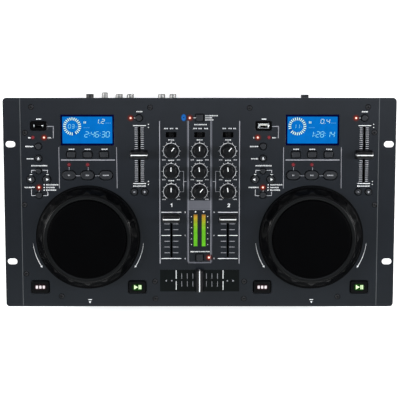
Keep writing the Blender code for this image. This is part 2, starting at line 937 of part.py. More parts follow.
def usb_socket(name, material):
    """An upright socket: its frame fills the window, its flange stops under the panel."""
    width = usb_frame_width - 2 * seat_gap
    depth = usb_frame_depth - 2 * seat_gap
    flange = rectangle(usb_frame_width + 2 * usb_flange, usb_frame_depth + 2 * usb_flange)
    sections = [
        (rectangle(width, depth), -usb_reach),
        (rectangle(width, depth), carrier_top - usb_flange_thickness),
        (flange, carrier_top - usb_flange_thickness),
        (flange, carrier_top),
        (rectangle(width, depth), carrier_top),
        (rectangle(width, depth), 0.0),
    ]
    base = bmesh.new()
    add_loft(base, sections)
    cut = bmesh.new()
    mouth = rectangle(usb_mouth_width, usb_mouth_depth)
    wide = rectangle(usb_mouth_width + 2 * key_edge, usb_mouth_depth + 2 * key_edge)
    add_loft(cut, [(mouth, overrun - usb_reach), (mouth, -key_edge), (wide, overrun)])
    return build(name, material, base, None, cut)


def control_board(material):
    """One board under the panel, with its lights, pots, fader bodies and pillars."""
    base = bmesh.new()
    width = 2 * (body_half_width - board_margin)
    depth = panel_depth - 2 * board_end_margin
    add_prism(base, rectangle(width, depth), board_under, board_top)
    foot = board_top - fuse_depth
    parts = bmesh.new()

    def stand(outline, top):
        add_prism(parts, outline, foot, top)

    def light(x, y):
        profile = [(led_radius, foot), (led_radius, 0.0), (led_radius / 2, led_proud)]
        add_loft(parts, turned(profile, small_sides, x, y))

    for side in (-1, 1):
        for key in deck_led_shares:
            x, y = deck_place(key, deck_led_shares)
            light(side * deck_x + x, y)
        x, y = deck_place("pitch_slot")
        length = pitch_slot_length + fader_body_overlength
        stand(rectangle(fader_body_width, length, side * deck_x + x, y), board_top + fader_body_height)
        x, y = mixer_place("channel_slot")
        length = channel_slot_length + fader_body_overlength
        stand(rectangle(fader_body_width, length, side * x, y), board_top + fader_body_height)
        x, y = mixer_place("meter")
        bar = rectangle(meter_bar_width - 2 * seat_gap, meter_bar_length - 2 * seat_gap, side * x, y)
        stand(bar, 0.0)
        for share_x, share_y in pillar_place_shares:
            x, y = side * share_x * body_half_width, share_y * panel_depth
            stand(circle(pillar_radius, small_sides, x, y), body_top)
    for key in mixer_led_shares:
        light(*mixer_place(key, mixer_led_shares))
    for (_, column), row in knob_names.items():
        x, y = knob_place(column, row)
        stand(rectangle(pot_side, pot_side, x, y), board_top + pot_height)
    for column in (-1, 0, 1):
        x, y = mixer_place("switches")
        stand(rectangle(switch_width, switch_depth, column * x, y), board_top + fader_body_height)
    x, y = mixer_place("cross_slot")
    length = cross_slot_length + fader_body_overlength
    stand(rectangle(length, fader_body_width, x, y), board_top + fader_body_height)
    return build("control_board", material, base, parts)


def disc_drive(name, material):
    """A drive case with a mouth for the disc and a leg at each corner."""
    base = bmesh.new()
    add_prism(base, rectangle(drive_width, drive_depth), drive_bottom, drive_top)
    legs = bmesh.new()
    inset = drive_leg_side / 2 + drive_wall
    for sx in (-1, 1):
        for sy in (-1, 1):
            x = sx * (drive_width / 2 - inset)
            y = sy * (drive_depth / 2 - inset)
            leg = rectangle(drive_leg_side, drive_leg_side, x, y)
            add_prism(legs, leg, tray_floor + seat_gap, drive_bottom + fuse_depth)
    cut = bmesh.new()
    inner = rectangle(drive_width - 2 * drive_wall, drive_depth - 2 * drive_wall)
    add_prism(cut, inner, drive_bottom + drive_wall, drive_top - drive_wall)
    obj = build(name, material, base, legs, cut)
    mouth = bmesh.new()
    length = drive_wall + 2 * overrun
    outline = rectangle(disc_slot_width, length, 0.0, -drive_depth / 2 + drive_wall / 2)
    low = -disc_slot_drop - disc_slot_height / 2
    add_prism(mouth, outline, low, low + disc_slot_height)
    combine(obj, mouth, "DIFFERENCE")
    return obj


def disc_hub(name, material):
    """The platter that turns a disc, with the cone that centres it."""
    top = -disc_slot_drop - platter_lower - cone_height
    profile = [
        (spindle_radius, drive_bottom + drive_wall + seat_gap),
        (spindle_radius, top - platter_thickness),
        (platter_radius, top - platter_thickness),
        (platter_radius, top),
        (cone_radius, top),
        (cone_top_radius, top + cone_height),
    ]
    base = bmesh.new()
    add_loft(base, turned(profile, round_sides))
    return build(name, material, base)


def power_supply(material):
    """A supply board on standoffs, with a transformer and two capacitors."""
    base = bmesh.new()
    low = tray_floor + supply_standoff
    high = low + supply_thickness
    add_prism(base, rectangle(supply_width, supply_depth), low, high)
    parts = bmesh.new()
    inset = pillar_radius * 2
    for sx in (-1, 1):
        for sy in (-1, 1):
            x = sx * (supply_width / 2 - inset)
            y = sy * (supply_depth / 2 - inset)
            standoff = circle(pillar_radius, small_sides, x, y)
            add_prism(parts, standoff, tray_floor + seat_gap, low + fuse_depth)
    x = (transformer_width - supply_width) / 2 + pillar_radius
    foot = high - fuse_depth
    core = rectangle(transformer_width, transformer_depth, x, 0.0)
    add_prism(parts, core, foot, high + transformer_height)
    for step in (0, 1):
        x = supply_width / 2 - capacitor_margin - step * capacitor_spacing
        can = circle(capacitor_radius, round_sides, x, 0.0)
        add_prism(parts, can, foot, high + capacitor_height)
    return build("power_supply", material, base, parts)


def phono_sockets(name, material):
    """Four phono sockets on one block behind the rear panel."""
    base = bmesh.new()
    side = phono_pitch + 2 * (phono_radius + phono_block_margin)
    inner = -sheet - seat_gap
    block = rectangle(side, side, 0.0, phono_pitch / 2)
    add_prism(base, block, inner - phono_block_depth, inner)
    barrels = bmesh.new()
    bores = bmesh.new()
    for x, y in phono_places():
        profile = [
            (phono_radius, inner - fuse_depth),
            (phono_radius, phono_reach - phono_edge),
            (phono_radius - phono_edge, phono_reach),
        ]
        add_loft(barrels, turned(profile, round_sides, x, y))
        bore = circle(phono_bore_radius, small_sides, x, y)
        add_prism(bores, bore, phono_reach - phono_bore_depth, phono_reach + overrun)
    face_rear(base)
    face_rear(barrels)
    face_rear(bores)
    return build(name, material, base, barrels, bores)


def jack_socket(name, bush_length, material):
    """A quarter-inch jack: its body behind the wall, its bush and nut outside."""
    inner = -sheet - seat_gap
    base = bmesh.new()
    body = rectangle(jack_body_width, jack_body_width)
    add_prism(base, body, inner - jack_body_reach, inner)
    bush = bmesh.new()
    profile = [
        (jack_bush_radius, inner - fuse_depth),
        (jack_bush_radius, seat_gap),
        (jack_nut_radius, seat_gap),
        (jack_nut_radius, seat_gap + jack_nut_thickness),
        (jack_bush_radius, seat_gap + jack_nut_thickness),
        (jack_bush_radius, bush_length),
    ]
    add_loft(bush, turned(profile, round_sides))
    bore = bmesh.new()
    hole = circle(jack_bore_radius, round_sides)
    add_prism(bore, hole, bush_length - jack_bore_depth, bush_length + overrun)
    for part in (base, bush, bore):
        face_rear(part)
    return build(name, material, base, bush, bore)


def ground_post(material):
    """A thumb screw on a threaded post, held by a nut behind the rear panel."""
    inner = -sheet - seat_gap
    nut = inner - post_inner_nut_thickness
    grip = post_length - post_grip_length
    profile = [
        (post_inner_nut_radius, nut),
        (post_inner_nut_radius, inner),
        (post_neck_radius, inner),
        (post_neck_radius, grip),
        (post_radius, grip),
        (post_radius, post_length - phono_edge),
        (post_radius - phono_edge, post_length),
    ]
    base = bmesh.new()
    add_loft(base, turned(profile, small_sides))
    face_rear(base)
    return build("ground_post", material, base)


def power_inlet(material):
    """A mains inlet with its lip outside the rear panel and three pins in its recess."""
    base = bmesh.new()
    body = rectangle(inlet_width, inlet_height)
    lip_outline = rectangle(inlet_width + 2 * inlet_lip, inlet_height + 2 * inlet_lip)
    front = seat_gap + inlet_lip_thickness
    add_loft(base, [(body, -inlet_reach), (body, seat_gap), (lip_outline, seat_gap), (lip_outline, front)])
    floor = front - inlet_recess_depth
    cut = bmesh.new()
    corner = inlet_recess_height / 4
    recess = rounded(inlet_recess_width, inlet_recess_height, corner, 1)
    add_prism(cut, recess, floor, front + overrun)
    pins = bmesh.new()
    apart, down = inlet_pin_spacing / 2, inlet_pin_drop / 3
    for x, y in ((-apart, down), (apart, down), (0.0, down - inlet_pin_drop)):
        pin = rectangle(inlet_pin_width, inlet_pin_height, x, y)
        add_prism(pins, pin, floor - fuse_depth, floor + inlet_pin_length)
    for part in (base, cut, pins):
        face_rear(part)
    obj = build("power_inlet", material, base, None, cut)
    combine(obj, pins, "UNION")
    return obj


def power_button(material):
    """A square push button with a flange behind the rear panel."""
    side = power_button_side
    flange = rectangle(side + 2 * power_button_flange, side + 2 * power_button_flange)
    inner = -sheet - seat_gap
    cap = rectangle(side, side)
    face = rectangle(side - 2 * key_edge, side - 2 * key_edge)
    sections = [
        (flange, inner - power_button_flange_thickness),
        (flange, inner),
        (cap, inner),
        (cap, power_button_reach - key_edge),
        (face, power_button_reach),
    ]
    base = bmesh.new()
    add_loft(base, sections)
    face_rear(base)
    return build("power_button", material, base)


def build_body(origin, paint, rubber_black, board_green, supply_colour, socket_black, brass):
    place(top_panel(paint), origin)
    place(base_tray(paint), origin)
    place(front_panel(paint), origin)
    place(rear_panel(paint), origin)
    place(control_board(board_green), origin)
    supply = power_supply(supply_colour)
    place(supply, origin, supply_place_share * body_half_width, supply_front + supply_depth / 2)
    first = phono_sockets("line_sockets", socket_black)
    place(first, origin, rear_x("line"), rear_face, -rear_row_drop)
    copy_of(first, "output_sockets", origin, rear_x("output"), rear_face, -rear_row_drop)
    mic = jack_socket("mic_socket", mic_bush_length, socket_black)
    place(mic, origin, rear_x("mic"), rear_face, -rear_row_drop)
    phones = jack_socket("headphone_socket", headphone_bush_length, socket_black)
    phones.rotation_euler = (0.0, 0.0, math.pi)
    place(phones, origin, headphone_place_share * body_half_width, front_face, -headphone_drop)
    place(ground_post(brass), origin, rear_x("post"), rear_face, -rear_row_drop)
    place(power_inlet(socket_black), origin, rear_x("inlet"), rear_face, -inlet_drop)
    place(power_button(rubber_black), origin, rear_x("power_button"), rear_face, -rear_row_drop)


def build_mixer(origin, cap_black, key_black):
    pattern = None
    for (kind, column), row in knob_names.items():
        name = f"knob_{kind}" if column == 0 else f"knob_{kind}_{1 if column < 0 else 2}"
        x, y = knob_place(column, row)
        if pattern is None:
            pattern = place(knob(name, cap_black), origin, x, y)
        else:
            copy_of(pattern, name, origin, x, y)
    x, y = mixer_place("switches")
    first = place(slide_switch("source_switch_1", key_black), origin, -x, y)
    copy_of(first, "cue_switch", origin, 0.0, y)
    copy_of(first, "source_switch_2", origin, x, y)
    first = single_key("pairing_button", "square", key_black)
    place(first, origin, *mixer_place("pairing"))
    copy_of(first, "fader_start_button", origin, *mixer_place("fader_start"))
    x, y = mixer_place("channel_slot")
    travel = channel_slot_length - fader_stem_length - 2 * fader_end_play
    y += channel_fader_rest_share * travel
    first = place(fader("channel_fader_1", fader_cap_width, cap_black), origin, -x, y)
    copy_of(first, "channel_fader_2", origin, x, y)
    cross = fader("crossfader", cross_cap_width, cap_black)
    cross.rotation_euler = (0.0, 0.0, math.pi / 2)
    place(cross, origin, *mixer_place("cross_slot"))


def build_deck(label, deck, models, colours):
    """One deck's pieces: the first deck makes the meshes, the second shares them."""

    def put(stem, maker, where=(0.0, 0.0)):
        name = f"{stem}_{label}"
        if stem in models:
            copy_of(models[stem], name, deck, *where)
        else:
            models[stem] = place(maker(name), deck, *where)

    wheel, plate, cap, key, glass, socket, steel = colours
    jog = deck_place("jog")
    put("jog_wheel", lambda name: jog_wheel(name, wheel), jog)
    put("touch_plate", lambda name: touch_plate(name, plate), jog)
    put("display", lambda name: display(name, glass), deck_place("display"))
    put("usb_socket", lambda name: usb_socket(name, socket), deck_place("usb"))
    put("pitch_fader", lambda name: fader(name, fader_cap_width, cap), deck_place("pitch_slot"))
    put("pitch_key", lambda name: single_key(name, "pitch_key", key), deck_place("pitch_key"))
    put("cue_key", lambda name: single_key(name, "pad", key), deck_place("cue"))
    put("play_key", lambda name: single_key(name, "pad", key), deck_place("play"))
    put("disc_drive", lambda name: disc_drive(name, steel), (0.0, drive_middle))
    put("disc_hub", lambda name: disc_hub(name, cap), (0.0, hub_y))
    build_key_strips(put, key)


def build_key_strips(put, key):
    diameter = 2 * round_key_radius
    rows = {
        "display_keys": (
            ("display_key_1", "display_key_2", "display_key_3"), display_key_width, display_key_depth
        ),
        "loop_keys": (("loop_key_1", "loop_key_2", "loop_key_3"), loop_key_width, loop_key_depth),
        "select_keys": (("select", "eject"), diameter, diameter),
        "bend_keys": (("bend_down", "bend_up"), diameter, diameter),
    }
    for stem, (keys, width, depth) in rows.items():
        strips = [row_strip(keys, width, depth)]
        put(stem, lambda name, k=keys, s=strips: key_strip(name, k, s, key), group_middle(keys))
    keys = ("skip", "back", "forward", "jog_mode")
    middle = group_middle(keys)
    beam_x, beam_y = deck_place("back")
    across = deck_place("forward")[0] - beam_x
    reach = 2 * (search_key_radius + key_flange)
    beam = (across + reach, reach, beam_x + across / 2 - middle[0], beam_y - middle[1])
    top, bottom = deck_place("skip"), deck_place("jog_mode")
    post_height = top[1] - bottom[1] + diameter + 2 * key_flange
    post_middle = (top[1] + bottom[1]) / 2 - middle[1]
    post = (diameter + 2 * key_flange, post_height, top[0] - middle[0], post_middle)
    led_x, led_y = deck_place("jog_mode", deck_led_shares)
    window = [(led_x - middle[0], led_y - middle[1])]
    put("search_keys", lambda name: key_strip(name, keys, [beam, post], key, window), middle)


def main():
    clear_scene()
    paint = make_material("panel_paint", (0.030, 0.033, 0.040), 0.55)
    wheel = make_material("wheel_black", (0.022, 0.022, 0.024), 0.60)
    plate = make_material("plate_black", (0.012, 0.012, 0.013), 0.32)
    cap = make_material("cap_black", (0.018, 0.018, 0.020), 0.45)
    key = make_material("key_black", (0.035, 0.036, 0.040), 0.50)
    glass = make_material("display_blue", (0.020, 0.160, 0.850), 0.15)
    socket = make_material("socket_black", (0.015, 0.015, 0.016), 0.40)
    steel = make_material("drive_steel", (0.480, 0.490, 0.500), 0.35, 0.9)
    board = make_material("board_green", (0.020, 0.140, 0.060), 0.50)
    supply = make_material("supply_brown", (0.230, 0.120, 0.050), 0.60)
    brass = make_material("post_nickel", (0.550, 0.530, 0.480), 0.30, 1.0)
    origin = make_empty("panel_centre", None, 0.0, panel_y, panel_top)
    build_body(origin, paint, cap, board, supply, socket, brass)
    build_mixer(origin, cap, key)
    models = {}
    for label, side in (("left", -1), ("right", 1)):
        deck = make_empty(f"deck_{label}", origin, side * deck_x)
        build_deck(label, deck, models, (wheel, plate, cap, key, glass, socket, steel))


main()
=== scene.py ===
"""Looks of the twin disc player with its mixer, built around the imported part.

Shapes are drawn in millimetres from the middle of the panel's top face: x right, y rear, h up.
The outline of a rectangle is given as width, depth, corner radius and steps along each corner.
"""

import math

import bmesh
import bpy
from mathutils import Matrix, Vector


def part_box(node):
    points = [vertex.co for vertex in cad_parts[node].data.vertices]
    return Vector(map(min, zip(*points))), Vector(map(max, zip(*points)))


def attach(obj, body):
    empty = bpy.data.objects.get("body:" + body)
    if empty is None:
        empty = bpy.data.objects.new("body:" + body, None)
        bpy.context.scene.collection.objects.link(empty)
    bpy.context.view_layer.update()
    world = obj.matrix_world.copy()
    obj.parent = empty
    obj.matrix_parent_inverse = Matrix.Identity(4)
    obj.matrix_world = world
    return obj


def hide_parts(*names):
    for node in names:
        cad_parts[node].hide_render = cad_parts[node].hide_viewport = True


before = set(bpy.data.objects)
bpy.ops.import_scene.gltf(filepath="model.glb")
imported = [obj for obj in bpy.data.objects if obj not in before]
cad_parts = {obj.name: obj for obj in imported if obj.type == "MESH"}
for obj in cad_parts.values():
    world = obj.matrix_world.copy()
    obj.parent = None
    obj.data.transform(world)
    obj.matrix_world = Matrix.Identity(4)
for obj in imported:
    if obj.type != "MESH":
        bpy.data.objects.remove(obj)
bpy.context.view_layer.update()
MM = 0.001
panel_low, panel_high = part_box("top_panel")
ORIGIN = Vector(((panel_low.x + panel_high.x) / 2, (panel_low.y + panel_high.y) / 2, panel_high.z))


def span(node):
    """Lowest and highest corner of a node's box in panel millimetres."""
    low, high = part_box(node)
    return (low - ORIGIN) / MM, (high - ORIGIN) / MM


def middle(node):
    low, high = span(node)
    return (low + high) / 2


def size(node):
    low, high = span(node)
    return high - low


# Places on a deck, from the middle of its wheel across and of the panel to the rear
DECK_X = middle("jog_wheel_right").x
JOG_Y = middle("jog_wheel_right").y
SIDES = {"left": -DECK_X, "right": DECK_X}
ENDS = (-1, 1)


def on_deck(node):
    place = middle(node)
    return place.x - DECK_X, place.y


DISPLAY = on_deck("display_right")
USB = on_deck("usb_socket_right")
PITCH = on_deck("pitch_fader_right")
PADS = {"cue": on_deck("cue_key_right"), "play": on_deck("play_key_right")}
SEARCH_X = on_deck("select_keys_right")[0]
SEARCH_STEP = 9.75
BEND_STEP = 6.32
DISPLAY_STEP = 20.18
LOOP_STEP = 22.74
ROUND_KEYS = {
    "select": (SEARCH_X, 70.46, 3.7), "eject": (SEARCH_X, 55.64, 3.7), "skip": (SEARCH_X, 40.04, 3.2),
    "back": (SEARCH_X - SEARCH_STEP, 29.64, 4.5), "forward": (SEARCH_X + SEARCH_STEP, 29.64, 4.5),
    "jog_mode": (SEARCH_X, 10.14, 3.7), "pitch": (*on_deck("pitch_key_right"), 3.7),
    "bend_down": (PITCH[0] - BEND_STEP, 14.2, 3.7), "bend_up": (PITCH[0] + BEND_STEP, 14.2, 3.7)}
DISPLAY_KEYS = [(DISPLAY[0] + i * DISPLAY_STEP, 60.32) for i in (-1, 0, 1)]
LOOP_KEYS = [(i * LOOP_STEP, 34.84) for i in (-1, 0, 1)]
DECK_LAMPS = {"disc": (-66.69, 81.38), "card": (-52.84, 81.38), "jog_mode": (SEARCH_X, 19.76),
              "loop_in": (-LOOP_STEP, 47.84), "loop_out": (0.17, 47.84), "pitch": (53.63, 105.3)}
LIT = {"left": ("card", "jog_mode", "pitch"), "right": ("disc", "jog_mode", "pitch")}

# Places on the mixer
COLUMN = middle("knob_gain_2").x
KNOB_TURNS = {"gain_1": -38, "high_1": 0, "low_1": -1, "cue_level": 1, "cue_mix": 7, "master": -38,
              "gain_2": -41, "high_2": 6, "low_2": 8}
SWITCHES = ("source_switch_1", "cue_switch", "source_switch_2")
SWITCH_Y = middle("cue_switch").y
SQUARE_KEYS = ("pairing_button", "fader_start_button")
MIXER_LAMPS = [(-12.08, 105.46), (11.59, -67.91)]
CHANNEL_Y = -40.3
CHANNEL_SLOT = 56.0
CROSS_Y = middle("crossfader").y
METER_PLACE = (5.01, -34.01)
METER_SIZE = (5.2, 40.0)
METER_REACH = [METER_PLACE[1] + end * METER_SIZE[1] / 2 for end in ENDS]

# Panel and casing
RACK_SLOT = (232.55, 73.05)
SCREWS = [(-206.4, 118.8), (-214.5, 87.2), (-60.7, 118.2), (61.3, 117.6), (206.4, 118.8), (214.5, 87.6),
          (-216.3, -2.0), (216.3, -2.0), (-215.6, -88.5), (-172.0, -117.0), (172.0, -117.5), (-55.5, -98.3),
          (55.5, -98.3), (-55.0, -120.1), (55.0, -120.1)]
WALL = span("front_panel")
FRONT_Y = WALL[0].y
REAR_Y = span("rear_panel")[1].y
EAR = WALL[1].x
INSIDE = 0.02
KEY_TOP = span("pitch_key_left")[1].z - INSIDE

# Camera
LENS_PX = 1280.0
FRAME_PX = 400
MIDDLE_PX = (199.61, 203.23)
EYE = Vector((0.0, 205.7, 1568.6))
FORWARD = -EYE.normalized()
RIGHT = Vector((1.0, 0.0, 0.0))
UP = RIGHT.cross(FORWARD)
SENSOR = 36.0
CLIP_START = 0.05


def spot(u, v):
    """Place on the panel that the photograph shows at pixel (u, v)."""
    ray = FORWARD + RIGHT * ((u - MIDDLE_PX[0]) / LENS_PX) + UP * ((MIDDLE_PX[1] - v) / LENS_PX)
    point = EYE - ray * (EYE.z / ray.z)
    return point.x, point.y


def make_camera():
    data = bpy.data.cameras.new("camera")
    data.sensor_width = SENSOR
    data.lens = LENS_PX / FRAME_PX * SENSOR
    data.shift_x = 0.5 - MIDDLE_PX[0] / FRAME_PX
    data.shift_y = MIDDLE_PX[1] / FRAME_PX - 0.5
    data.clip_start = CLIP_START
    camera = bpy.data.objects.new("camera", data)
    turn = Matrix((RIGHT, UP, -FORWARD)).transposed().to_4x4()
    camera.matrix_world = Matrix.Translation(ORIGIN + EYE * MM) @ turn
    bpy.context.scene.collection.objects.link(camera)
    bpy.context.scene.camera = camera


# Materials
MOTTLE = (34.0, 5.0)
GRAIN_DETAIL = 3.0
SCRATCHES = (260.0, 6.0)
FLICKER = (140.0, 2.0)
SPECK_LIFT = 0.001
SPECK_RANGE = (0.0, 0.35, 0.55, 0.75)
WORN_RANGE = (0.0, 1.0, 0.53, 0.62)
ROUGH_SPREAD = 0.05
RELIEF = 0.0002
DIM_SHARE = 0.06


def feed(tree, socket, value):
    """Links a node's input to another node's output, or sets its value."""
    if isinstance(value, bpy.types.NodeSocket):
        tree.links.new(value, socket)
    else:
        socket.default_value = (*value, 1.0) if isinstance(value, tuple) else value


def add_node(tree, kind, output, inputs=(), **settings):
    """The output of a new node; its inputs are given by name, or as a list in their order."""
    node = tree.nodes.new("ShaderNode" + kind)
    for key, value in settings.items():
        setattr(node, key, value)
    for key, value in (inputs.items() if isinstance(inputs, dict) else enumerate(inputs)):
        feed(tree, node.inputs[key], value)
    return node.outputs[output]


def add_noise(tree, scale, detail):
    place = add_node(tree, "TexCoord", "Object")
    return add_node(tree, "TexNoise", "Fac", {"Scale": scale, "Detail": detail, "Vector": place})


def add_range(tree, source, low, high, start=0.3, end=0.7):
    return add_node(tree, "MapRange", "Result", {
        "Value": source, "From Min": start, "From Max": end, "To Min": low, "To Max": high})


def add_blend(tree, fac, first, second):
    return add_node(tree, "Mix", "Result", {"Factor": fac, "A": first, "B": second}, data_type="RGBA")


def material(name, colour, rough, metal=0.0, grain=900.0, bump=0.05, vary=0.12, wear=0.0, gloss=0.5,
             sheen=0.0):
    """A surface with mottled colour, uneven roughness, fine grain and paler worn edges."""
    mat = bpy.data.materials.new(name)
    mat.use_nodes = True
    tree = mat.node_tree
    dark = tuple(c * (1 - vary) for c in colour)
    light = tuple(min(1.0, c * (1 + vary)) for c in colour)
    speck = tuple(min(1.0, c * (1 + 3 * vary) + SPECK_LIFT) for c in colour)
    fine = add_noise(tree, grain, GRAIN_DETAIL)
    shade = add_blend(tree, add_range(tree, add_noise(tree, *MOTTLE), 0.0, 1.0), dark, light)
    shade = add_blend(tree, add_range(tree, fine, *SPECK_RANGE), shade, speck)
    if wear:
        edge = add_node(tree, "NewGeometry", "Pointiness")
        worn = tuple(min(1.0, c + wear) for c in colour)
        shade = add_blend(tree, add_range(tree, edge, *WORN_RANGE), shade, worn)
    uneven = add_range(tree, add_noise(tree, *SCRATCHES), rough * (1 - ROUGH_SPREAD),
                       min(1.0, rough * (1 + ROUGH_SPREAD)))
    relief = add_node(tree, "Bump", "Normal", {"Strength": bump, "Distance": RELIEF, "Height": fine})
    shader = tree.nodes["Principled BSDF"]
    for key, value in (("Metallic", metal), ("Specular IOR Level", gloss), ("Sheen Weight", sheen),
                       ("Base Color", shade), ("Roughness", uneven), ("Normal", relief)):
        feed(tree, shader.inputs[key], value)
    return mat


def ink_coat(name, colour, vary=0.05, rough=0.45, bump=0.03):
    return material(name, colour, rough, grain=1500.0, bump=bump, vary=vary)


def glow(name, colour, strength=1.0, rough=0.3, low=0.8, gloss=0.12):
    """A lit surface whose light is a little uneven, under a smooth coat."""
    dim = tuple(DIM_SHARE * c for c in colour)
    mat = material(name, dim, rough, grain=500.0, bump=0.02, vary=0.08, gloss=gloss)
    tree = mat.node_tree
    shader = tree.nodes["Principled BSDF"]
    level = add_range(tree, add_noise(tree, *FLICKER), strength * low, strength * (2 - low))
    feed(tree, shader.inputs["Emission Color"], colour)
    feed(tree, shader.inputs["Emission Strength"], level)
    return mat


def graded(name, front, rear, stops):
    """A lit surface whose colour changes from front to rear, between two places in panel millimetres."""
    mat = glow(name, stops[0][1])
    tree = mat.node_tree
    place = add_node(tree, "TexCoord", "Object")
    along = add_node(tree, "SeparateXYZ", "Y", {"Vector": place})
    ramp = tree.nodes.new("ShaderNodeValToRGB")
    ends = [ORIGIN.y + y * MM for y in (front, rear)]
    feed(tree, ramp.inputs["Fac"], add_range(tree, along, 0.0, 1.0, *ends))
    for share, colour in stops[1:-1]:
        ramp.color_ramp.elements.new(share).color = (*colour, 1.0)
    ramp.color_ramp.elements[0].color = (*stops[0][1], 1.0)
    ramp.color_ramp.elements[-1].color = (*stops[-1][1], 1.0)
    feed(tree, tree.nodes["Principled BSDF"].inputs["Emission Color"], ramp.outputs["Color"])
    return mat


PAINT = material("panel_paint", (0.0054, 0.0071, 0.0106), 0.31, grain=2200.0, gloss=0.24)
BODY = material("body_paint", (0.012, 0.0125, 0.014), 0.48, grain=1800.0, bump=0.16, gloss=0.30)
RING = material("wheel_ring", (0.0010, 0.0011, 0.0014), 0.20, grain=1500.0, bump=0.03, gloss=0.08)
RIM = material("wheel_rim", (0.0026, 0.0028, 0.0032), 0.30, grain=1500.0, gloss=0.14)
PLATE = material("touch_plate", (0.0005, 0.0005, 0.0007), 0.50, grain=2600.0, vary=0.2, gloss=0.02)
KNOB = material("knob_black", (0.0018, 0.0021, 0.0028), 0.36, grain=1500.0, bump=0.06, wear=0.004, gloss=0.14)
CAP = material("fader_black", (0.0032, 0.0032, 0.0040), 0.34, grain=1500.0, bump=0.06, wear=0.01, gloss=0.26)
KEY = material("key_rubber", (0.0115, 0.0125, 0.0155), 0.40, grain=1700.0, bump=0.08, gloss=0.28)
PAD = material("pad_key", (0.0016, 0.0016, 0.0020), 0.26, grain=1400.0, bump=0.04, gloss=0.10)
# Black that paints shade: in key gaps, fader slots and socket openings, and as shadow rings round the wheels
# and screws
SHADE = material("inner_black", (0.0008, 0.0008, 0.0010), 0.60, grain=800.0, gloss=0.04)
RECESS = material("port_black", (0.0012, 0.0012, 0.0014), 0.36, grain=1200.0, gloss=0.08)
GLOSS = material("fader_field", (0.0014, 0.0026, 0.0026), 0.32, grain=1600.0, bump=0.03, vary=0.25,
                 gloss=0.10)
WHITE = ink_coat("ink_white", (0.80, 0.81, 0.82))
BRIGHT = ink_coat("pointer_white", (0.93, 0.93, 0.93), 0.04, 0.40)
SOFT = ink_coat("ink_soft", (0.50, 0.50, 0.53))
PALE = ink_coat("ink_pale", (0.30, 0.30, 0.33), 0.06)
GREY = ink_coat("ink_grey", (0.080, 0.081, 0.098), 0.10, 0.46, 0.04)
FAINT = ink_coat("ink_faint", (0.055, 0.060, 0.064), 0.10, 0.46, 0.04)
SCREW = material("screw_black", (0.016, 0.016, 0.018), 0.28, 0.5, grain=700.0, gloss=0.4)
STEEL = material("shell_steel", (0.56, 0.57, 0.56), 0.24, 1.0, grain=500.0, bump=0.04, vary=0.06, wear=0.05)
NICKEL = material("socket_nickel", (0.27, 0.27, 0.265), 0.40, 1.0, grain=600.0)
RUBBER = material("foot_rubber", (0.012, 0.012, 0.012), 0.78, grain=1100.0, bump=0.25, vary=0.2)
SOCKET = material("socket_plastic", (0.0085, 0.0085, 0.0090), 0.42, grain=1200.0, bump=0.08, wear=0.02,
                  gloss=0.35)
FELT = material("slot_felt", (0.010, 0.010, 0.010), 0.95, grain=3000.0, bump=0.6, vary=0.3, sheen=0.4)
ZINC = material("drive_zinc", (0.46, 0.47, 0.48), 0.34, 0.9, grain=240.0, vary=0.15)
BOARD = material("circuit_board", (0.012, 0.070, 0.030), 0.42, grain=420.0, bump=0.12, vary=0.35)
SUPPLY = material("supply_board", (0.20, 0.105, 0.045), 0.55, grain=380.0, bump=0.15, vary=0.3)
INSULATOR_RED = material("insulator_red", (0.42, 0.020, 0.018), 0.40)
INSULATOR_WHITE = material("insulator_white", (0.55, 0.54, 0.50), 0.40)
LCD_EDGE = glow("display_edge", (0.0004, 0.0018, 0.030), rough=0.22, low=0.9, gloss=0.02)
LCD_BLUE = glow("display_blue", (0.0006, 0.155, 0.545), rough=0.22, low=0.93, gloss=0.02)
LCD_GAPS = glow("display_gaps", (0.0005, 0.085, 0.400), low=0.93, gloss=0.02)
LCD_PALE = glow("display_segments", (0.70, 1.0, 0.84), low=0.94, gloss=0.04)
LCD_SOFT = glow("display_digits", (0.26, 0.74, 0.88), 1.1, low=0.92)
LCD_FAINT = glow("display_faint", (0.05, 0.31, 0.70), low=0.92)
# Lenses of unlit lamps, given a faint painted glow
RED_LENS = glow("lens_red_dark", (0.235, 0.026, 0.036))
LAMP_RED = glow("lamp_red", (0.50, 0.045, 0.020))
LAMP_CORE = glow("lamp_core", (1.0, 0.74, 0.62), 1.6)
# Rings of painted glow on the panel round the lit lamps, and a fainter one round the unlit lamps
LIT_HALOS = [glow("lamp_halo_1", (0.200, 0.022, 0.012)), glow("lamp_halo_2", (0.090, 0.012, 0.009)),
             glow("lamp_halo_3", (0.040, 0.013, 0.013))]
DARK_HALOS = [glow("lamp_halo_4", (0.062, 0.014, 0.016))]
LEGEND_GREEN = glow("legend_green", (0.74, 1.0, 0.56), 1.2)
GREEN_GLOW = glow("legend_green_glow", (0.012, 0.075, 0.006))
RED_GLOW = glow("legend_red_glow", (0.026, 0.010, 0.012))
LEGEND_WHITE = glow("legend_white", (0.86, 0.78, 0.80))
MARK_BLUE = glow("mark_blue", (0.006, 0.120, 0.430))
# Painted glow on the panel round the blue mark; it also draws the darker dot in its middle
MARK_HALO = glow("mark_blue_halo", (0.004, 0.030, 0.110))
METER_BED = glow("meter_bed", (0.040, 0.140, 0.010))
METER_LIGHT = graded("meter_light", *METER_REACH, [
    (0.0, (0.130, 0.540, 0.020)), (0.48, (0.165, 0.540, 0.020)), (0.70, (0.300, 0.450, 0.020)),
    (0.86, (0.560, 0.360, 0.026)), (0.95, (0.560, 0.230, 0.034)), (1.0, (0.420, 0.070, 0.024))])

# Mesh helpers
SAME_POINT = 1e-4
LEAST_CORNER = 0.05
DOME_STEPS = 3
DOME_INSET_SHARE = 1.25
BEVEL_ANGLE = 32
PLATE_CREASE = 15


def heading(angle):
    """The way that an angle in radians points, seen from above."""
    return Vector((math.cos(angle), math.sin(angle)))


def circle(radius, sides=48, x=0.0, y=0.0):
    step = 2 * math.pi / sides
    return [(x + radius * math.cos(i * step), y + radius * math.sin(i * step)) for i in range(sides)]


